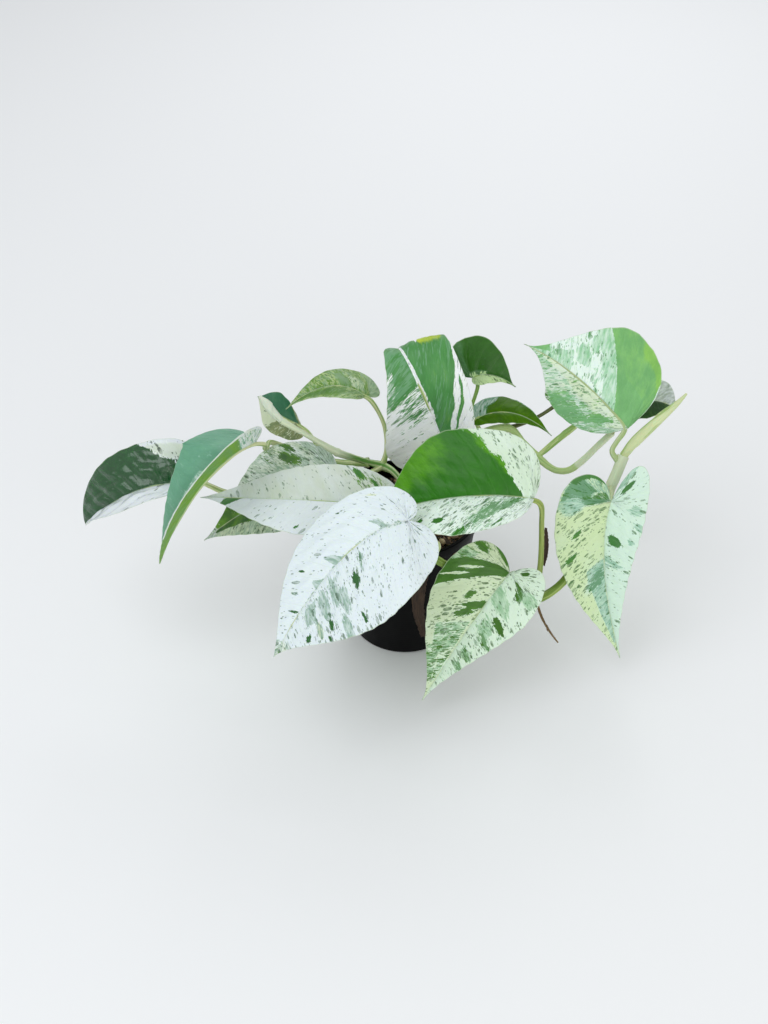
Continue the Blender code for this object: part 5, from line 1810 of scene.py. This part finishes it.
for number, (name, spec) in enumerate(SHEATHS.items()):
    mesh = strip(name + "_paper", spec, SHEATH_SHIFT.get(name, 0.0), number)
    made = add_piece(name + "_paper", mesh, "dry_sheath", name)
    solid = made.modifiers.new("thickness", "SOLIDIFY")
    solid.thickness = SHEATH_THICKNESS * MM
    solid.offset = 0.0
print(len(SHEATHS), "dry sheaths")

# %% [markdown]
# The pot is a blow-moulded nursery pot: thin black plastic, drawn out towards a
# thicker band at the rim. A lathe suits it: the profile is a list of stops, each
# corner is rounded by a few points of an arc, and the ring of points is turned round
# the pot's axis. The drain holes are cut by a Boolean, and the cut edges stay crisp.

# %% Turning a profile
CORNER_STEPS = 4
AXIS_REACH = 1e-6


def rounded(profile):
    """A profile of (radius, height, corner size) stops with its corners rounded."""
    stops = np.array([stop[:2] for stop in profile], float)
    made = [stops[0]]
    for before, stop, after, (_, _, size) in zip(stops, stops[1:], stops[2:], profile[1:]):
        into = stop - unit(stop - before) * size
        out = stop + unit(after - stop) * size
        for t in np.linspace(0, 1, CORNER_STEPS + 1):
            made.append((1 - t) ** 2 * into + 2 * t * (1 - t) * stop + t**2 * out)
    made.append(stops[-1])
    return made


def turned_mesh(name, profile, segments):
    """A closed mesh turned about Z from a profile whose ends lie on the axis."""
    points = []
    rings = []
    turns = np.linspace(0, 2 * math.pi, segments, endpoint=False)
    for radius, z in profile:
        if radius < AXIS_REACH:
            rings.append([len(points)] * segments)
            points.append((0, 0, z))
            continue
        rings.append(range(len(points), len(points) + segments))
        points += [(radius * math.cos(a), radius * math.sin(a), z) for a in turns]
    faces = []
    for low, high in zip(rings, rings[1:]):
        for k in range(segments):
            n = (k + 1) % segments
            faces.append(tuple(dict.fromkeys((low[k], low[n], high[n], high[k]))))
    return plain_mesh(name, points, faces)


def cut(mesh, tools):
    """The mesh with the tools taken out of it."""
    made = placed("to_cut", mesh)
    group = bpy.data.collections.new("tools")
    bpy.context.scene.collection.children.link(group)
    for tool in tools:
        group.objects.link(tool)
    boolean = made.modifiers.new("cut", "BOOLEAN")
    boolean.operation = "DIFFERENCE"
    boolean.operand_type = "COLLECTION"
    boolean.collection = group
    boolean.solver = "EXACT"
    graph = bpy.context.evaluated_depsgraph_get()
    result = bpy.data.meshes.new_from_object(made.evaluated_get(graph))
    for thing in [made, *tools]:
        bpy.data.objects.remove(thing, do_unlink=True)
    bpy.data.collections.remove(group)
    return result


print("a corner of the profile has", CORNER_STEPS + 1, "points")

# %% [markdown]
# The stops below are the pot's own, from the middle of its underside, over the ring
# that it stands on, up the wall to the rim band and down inside to the middle again.

# %% The pot
POT_HEIGHT = 108.0
POT_BASE_RADIUS = 39.0
POT_RIM_RADIUS = 52.5
POT_WALL = 1.3
POT_FLOOR = 2.0
RIM_BAND_HEIGHT = 9.0
RIM_BAND_DEPTH = 1.4
POT_SEGMENTS = 144
POT_EDGE_ANGLE = 35
DRAIN_HOLES = 5
DRAIN_RADIUS = 5.0
DRAIN_CIRCLE = 27.0
DRILL_SEGMENTS = 32
DRILL_LENGTH = 20


def inner_radius(z):
    """The radius of the pot's inner wall at a height."""
    share = z / POT_HEIGHT
    return POT_BASE_RADIUS + (POT_RIM_RADIUS - RIM_BAND_DEPTH - POT_BASE_RADIUS) * share - POT_WALL


def from_bmesh(name, made):
    """A loose object of what a bmesh holds."""
    mesh = bpy.data.meshes.new(name)
    made.to_mesh(mesh)
    made.free()
    return bpy.data.objects.new(name, mesh)


def drill(turn):
    """A round cutter for one drain hole."""
    made = bmesh.new()
    radius = DRAIN_RADIUS * MM
    bmesh.ops.create_cone(
        made, cap_ends=True, segments=DRILL_SEGMENTS, radius1=radius, radius2=radius, depth=DRILL_LENGTH * MM,
    )
    shift = Vector((DRAIN_CIRCLE * math.cos(turn), DRAIN_CIRCLE * math.sin(turn), 0)) * MM
    bmesh.ops.translate(made, verts=made.verts, vec=shift)
    return from_bmesh("drill", made)


band_foot = POT_HEIGHT - RIM_BAND_HEIGHT
wall = inner_radius(band_foot) + POT_WALL
profile = rounded([
    (0, 1.0, 0), (12, 1.0, 1.0), (14, 0.6, 0.8), (33.5, 0.6, 0.8), (34.5, 0, 0.4),
    (POT_BASE_RADIUS, 0, 2.0), (wall, band_foot, 0.6), (wall + RIM_BAND_DEPTH, band_foot + 0.5, 0.6),
    (POT_RIM_RADIUS, POT_HEIGHT, 0.8), (inner_radius(POT_HEIGHT), POT_HEIGHT, 0.6),
    (inner_radius(POT_FLOOR), POT_FLOOR, 1.5), (0, POT_FLOOR, 0),
])
drills = [drill(2 * math.pi * k / DRAIN_HOLES) for k in range(DRAIN_HOLES)]
pot_mesh = cut(turned_mesh("pot_body", profile, POT_SEGMENTS), drills)
pot_mesh.shade_smooth()
pot_mesh.set_sharp_from_angle(angle=math.radians(POT_EDGE_ANGLE))
print("the pot has", len(pot_mesh.polygons), "faces")

# %% [markdown]
# Black plastic is never quite black in a picture. It has a fine moulded grain, faint
# rings from the mould, some dust low down, and soft wide highlights.

# %% The pot finish
POT_BLACK = tone(3, 3, 4)
POT_DUST = tone(60, 52, 46)
DUST_SHARE = 0.07
DUST_FALL = -1.2
POT_GRAIN = 1400.0
SMEAR_STRETCH = (30.0, 30.0, 9.0)
MOULD_RING_PITCH = 0.0023
POT_RELIEF = (0.6, 0.0003)

pot_finish, work, shader = new_material("black_plastic", Specular_IOR_Level=0.06)
spot = work.add("ShaderNodeTexCoord").outputs["Object"]
height = work.split(spot)[2]
grain = work.noise(spot, POT_GRAIN)
smear = work.noise(work.vector("MULTIPLY", spot, SMEAR_STRETCH), 1.0, 5.0, 0.65)
dust = work.step(work.math("ADD", smear, work.math("MULTIPLY", height, DUST_FALL)), 0.55, 0.85)
colour = work.mix(work.math("MULTIPLY", dust, DUST_SHARE), POT_BLACK, POT_DUST)
rings = work.math("SINE", work.math("MULTIPLY", height, 2 * math.pi / MOULD_RING_PITCH))
rough = work.math("MULTIPLY_ADD", dust, 0.2, work.span(smear, 0.3, 0.55))
relief = work.math("MULTIPLY_ADD", rings, 0.03, work.math("MULTIPLY", grain, 0.12))
dress(work, shader, colour, rough, relief, *POT_RELIEF)
pot_mesh.materials.clear()
pot_mesh.materials.append(pot_finish)
add_piece("pot_body", pot_mesh, "pot", "pot")
print("the pot finish has", len(work.tree.nodes), "nodes")

# %% [markdown]
# The bark mix is a closed block that fills the pot. Its top is a few long waves with a
# fine noise over them. Each point of it also keeps whether there is room for a chip,
# which there isn't close to a stem or to the pot's wall.

# %% The soil
SOIL_TOP = 97.0
SOIL_GAP = 0.35
SOIL_BUMP = 1.6
SOIL_RINGS = 46
SOIL_SEGMENTS = 120
SOIL_FINE = 0.9
SOIL_LUMP = 5.0
WALL_CLEARANCE = 3
FOOT_CLEARANCE = 4.2


def soil_height(x, y):
    """The uneven top of the soil, as in the CAD solid and with fine lumps over it."""
    waves = math.sin(x / 6.1 + 0.4) * math.cos(y / 7.3) + 0.5 * math.sin((x + 2 * y) / 5.2)
    lumps = noise.fractal(Vector((x, y, 0)) / SOIL_LUMP, 0.8, 2.0, 4)
    return SOIL_TOP + SOIL_BUMP * waves + SOIL_FINE * lumps


feet = []
for rows in STEMS.values():
    path = smooth_path(rows, PATH_STEP)
    x, y, _, radius = path[np.argmin(np.abs(path[:, 2] - SOIL_TOP))]
    feet.append((x, y, radius))

foot = POT_FLOOR + SOIL_GAP
edge = inner_radius(SOIL_TOP) - SOIL_GAP
profile = [(0, foot), (inner_radius(foot) - SOIL_GAP, foot), (edge, SOIL_TOP - 1.5)]
profile += [(edge * (1 - k / SOIL_RINGS), SOIL_TOP) for k in range(1, SOIL_RINGS)]
profile.append((0, SOIL_TOP))
soil_mesh = turned_mesh("soil_top", profile, SOIL_SEGMENTS)
room = []
for vertex in soil_mesh.vertices:
    x, y, z = (c / MM for c in vertex.co)
    on_top = z > SOIL_TOP - 1
    if on_top:
        vertex.co.z = MM * soil_height(x, y)
    clear = min(math.hypot(x - a, y - b) - r for a, b, r in feet)
    room.append(on_top and math.hypot(x, y) < edge - WALL_CLEARANCE and clear > FOOT_CLEARANCE)
soil_mesh.shade_smooth()
keep_values(soil_mesh, "room", "FLOAT", room)
print("the soil lies", round(POT_HEIGHT - SOIL_TOP), "mm below the rim")

# %% [markdown]
# Bark, wood and grit share one finish group: a grain that runs along each chip, and a
# shade that differs from chip to chip, which the scattering tree stores on each copy.
# The chips and the grit get lighter colours than their own, as painted light where the
# leaves shade them.

# %% The bark finish
FIBRE_SIZE = 160.0
SPOT_SIZE = 700.0
BARK_RELIEF = 0.8
BARKS = {
    "bark_mix": (tone(28, 20, 15), tone(58, 42, 32), tone(96, 72, 52), 1.0, 0.85, 0.0008),
    # Chip and grit colours are lighter than their own: painted light in the shade of the leaves.
    "bark_chip": (tone(40, 26, 18), tone(112, 78, 54), tone(210, 172, 130), 3.0, 0.75, 0.0006),
    "grit": (tone(146, 122, 88), tone(212, 190, 152), tone(242, 232, 208), 1.0, 0.7, 0.0003),
}

bark_grain, work, given, result = new_group(
    "bark_grain", "ShaderNodeTree",
    {"Place": "Vector", "Tint": 0.5, "Darkest": "Color", "Middle": "Color", "Palest": "Color", "Fibre": 6.0},
    {"Color": "Color", "Height": "Float"},
)
shift = work.math("MULTIPLY", given["Tint"], 60.0)
factors = work.xyz(1.0, given["Fibre"], given["Fibre"])
place = work.vector("ADD", work.vector("MULTIPLY", given["Place"], factors), work.xyz(shift, shift, shift))
fibre = work.noise(place, FIBRE_SIZE, 5.0, 0.65)
spots = work.noise(given["Place"], SPOT_SIZE, 3.0, 0.6)
colour = work.mix(work.step(given["Tint"], 0.1, 0.9), given["Darkest"], given["Middle"])
colour = work.mix(work.math("MULTIPLY", work.step(fibre, 0.45, 0.65), given["Tint"]), colour, given["Palest"])
colour = work.mix(work.step(spots, 0.35, 0.7), work.mix(0.5, colour, given["Darkest"]), colour)
work.wire(colour, result["Color"])
height = work.math("MULTIPLY_ADD", fibre, 0.7, work.math("MULTIPLY", spots, 0.3))
work.wire(height, result["Height"])


def bark_finish(name):
    darkest, middle, palest, fibre, rough, depth = BARKS[name]
    made, work, shader = new_material(name)
    bark = work.group(bark_grain, {
        "Place": work.add("ShaderNodeTexCoord").outputs["Object"], "Tint": work.attribute("tint")["Fac"],
        "Darkest": darkest, "Middle": middle, "Palest": palest, "Fibre": fibre,
    })
    skin = work.span(bark["Height"], rough - 0.15, rough + 0.12)
    dress(work, shader, bark["Color"], skin, bark["Height"], BARK_RELIEF, depth)
    return made


barks = {name: bark_finish(name) for name in BARKS}
soil_mesh.materials.append(barks["bark_mix"])
add_piece("soil_block", soil_mesh, "soil", "soil")
print(len(barks), "finishes share the bark group")

# %% [markdown]
# Chips, grit and crumbs are scattered over the soil by one Geometry Nodes tree. It
# picks points on the soil where the room attribute allows it, turns and sizes one of
# a few source shapes there, gives each copy its own tint, and makes all of it real.

# %% The scattering tree
scatter, work, given, result = new_group(
    "scatter", "GeometryNodeTree",
    {
        "Ground": "Geometry", "Shapes": "Collection", "Density": 1000.0, "Apart": 0.001,
        "Smallest": 0.6, "Largest": 1.2, "Tilt": 0.5, "Lift": 0.0, "Seed": 1, "Finish": "Material",
    },
    {"Mesh": "Geometry"},
)


def drawn(kind, low, high, first, offset):
    """A random value with its own seed. Its sockets for low and high start at first."""
    seed = work.math("ADD", given["Seed"], offset)
    ends = {first: low, first + 1: high, "Seed": seed}
    return work.add("FunctionNodeRandomValue", ends, data_type=kind)


room_value = work.first("GeometryNodeInputNamedAttribute", {"Name": "room"}, data_type="FLOAT")
spread = work.add("GeometryNodeDistributePointsOnFaces", distribute_method="POISSON")
work.fed(spread, {
    "Mesh": given["Ground"], "Distance Min": given["Apart"], "Density Max": given["Density"],
    "Density Factor": room_value, "Seed": given["Seed"],
})
shapes = work.first("GeometryNodeCollectionInfo", {
    "Collection": given["Shapes"], "Separate Children": True, "Reset Children": True,
})
spins = drawn("FLOAT_VECTOR", (-1.0, -1.0, 0.0), (1.0, 1.0, 2 * math.pi), 0, 1.0).outputs[0]
turns = work.vector("MULTIPLY", spins, work.xyz(given["Tilt"], given["Tilt"], 1.0))
copies = work.first("GeometryNodeInstanceOnPoints", {
    "Points": spread.outputs["Points"], "Instance": shapes, "Pick Instance": True,
    "Rotation": work.first("FunctionNodeEulerToRotation", {0: turns}),
    "Scale": drawn("FLOAT", given["Smallest"], given["Largest"], 2, 2.0).outputs[1],
})
tint = drawn("FLOAT", 0.0, 1.0, 2, 3.0).outputs[1]
copies = stored(work, copies, "tint", tint, "FLOAT", "INSTANCE")
real = work.first("GeometryNodeRealizeInstances", {"Geometry": copies})
real = moved(work, real, {"Offset": work.xyz(0.0, 0.0, given["Lift"])})
real = work.first("GeometryNodeSetMaterial", {"Geometry": real, "Material": given["Finish"]})
work.wire(real, result["Mesh"])
print("the scattering tree has", len(scatter.nodes), "nodes")

# %% [markdown]
# A bark chip breaks along its grain, so its long sides are straight and its ends are
# ragged. Each source shape is a subdivided block whose points are moved by a noise,
# more at the ends. Grit and crumbs are squashed and dented balls. A noise that gives
# vectors is seeded by the clock unless it gets a seed, so it gets one, and the chips
# are the same in each run.

# %% The shapes that are scattered
CHIP_SIZES = ((11, 5.5, 2.2), (8, 4.5, 1.8), (14, 4, 1.6), (7, 6, 2.6), (9.5, 3.2, 2.4))
GRIT_SIZES = ((2.3, 2.0, 1.6), (1.8, 1.6, 1.4), (2.9, 2.2, 1.7))
CRUMB_SIZES = ((1.2, 0.9, 0.7), (0.9, 0.8, 0.6), (1.7, 0.7, 0.5))
CHIP_EDGE_ANGLE = 38
NOISE_SEED = 5


def rough_block(name, size, cuts, jag, seed):
    """A block with broken ends."""
    made = bmesh.new()
    bmesh.ops.create_cube(made, size=1.0)
    bmesh.ops.subdivide_edges(made, edges=made.edges, cuts=cuts, use_grid_fill=True)
    for vertex in made.verts:
        x, y, z = vertex.co
        wild = noise.noise_vector(vertex.co * 2.6 + Vector((seed, seed, seed)))
        squeeze = 1 - 0.35 * abs(2 * x) ** 3
        broken = Vector((x, y * squeeze, z * squeeze)) + wild * jag * (1 + 1.5 * abs(x) ** 3)
        vertex.co = Vector(a * b * MM for a, b in zip(broken, size))
    block = from_bmesh(name, made)
    block.data.shade_smooth()
    block.data.set_sharp_from_angle(angle=math.radians(CHIP_EDGE_ANGLE))
    return block


def rough_ball(name, size, detail, jag, seed):
    """A ball squashed and dented."""
    made = bmesh.new()
    bmesh.ops.create_icosphere(made, subdivisions=detail, radius=1.0)
    for vertex in made.verts:
        wild = noise.noise(vertex.co * 1.7 + Vector((seed, seed, seed)))
        vertex.co = Vector(a * b * MM * (1 + jag * wild) for a, b in zip(vertex.co, size))
    ball = from_bmesh(name, made)
    ball.data.shade_smooth()
    return ball


def shape_box(name, shape, sizes, detail, jag):
    """A collection of source shapes that isn't in the scene."""
    made = bpy.data.collections.new(name)
    for k, size in enumerate(sizes):
        made.objects.link(shape("%s_%d" % (name, k), size, detail, jag, k))
    return made


noise.seed_set(NOISE_SEED)
chips = shape_box("chip", rough_block, CHIP_SIZES, 4, 0.16)
grit = shape_box("grit", rough_ball, GRIT_SIZES, 2, 0.25)
crumbs = shape_box("crumb", rough_ball, CRUMB_SIZES, 1, 0.6)

# %% [markdown]
# Each kind is scattered in its own piece, with its own density for a square metre,
# least distance, sizes, tilt and lift. The source shapes are then thrown away.

# %% The scattered bark, crumbs and grit
SCATTERED = {
    "bark_chips": (chips, "bark_chip", (52000.0, 0.0034, 0.55, 1.15, 0.55, 0.0008, 3)),
    "bark_crumbs": (crumbs, "bark_chip", (300000.0, 0.0012, 0.5, 1.3, 3.0, 0.0004, 8)),
    "pale_grit": (grit, "grit", (12000.0, 0.005, 0.6, 1.3, 3.0, 0.0022, 21)),
}
SIZE_NAMES = ("Density", "Apart", "Smallest", "Largest", "Tilt", "Lift", "Seed")

for name, (shapes, finish, sizes) in SCATTERED.items():
    values = {"Shapes": shapes, "Finish": barks[finish], **dict(zip(SIZE_NAMES, sizes))}
    mesh = applied(name, placed("ground", soil_mesh), scatter, values)
    add_piece(name, mesh, "soil", "soil")
    print(name, "has", len(mesh.polygons), "faces")
for box in (chips, grit, crumbs):
    for shape in list(box.objects):
        bpy.data.objects.remove(shape, do_unlink=True)
    bpy.data.collections.remove(box)

# %% [markdown]
# The dressed plant should keep the size of the CAD model, so both boxes are put side
# by side. The last line prints the size of the dressed plant.

# %% Sizes and finish
low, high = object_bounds()
sizes = {"cad": [list(cad_low), list(cad_high)], "visual": [list(low), list(high)]}
print("the dressed plant is", [round((b - a) / MM, 1) for a, b in zip(low, high)], "mm each way")
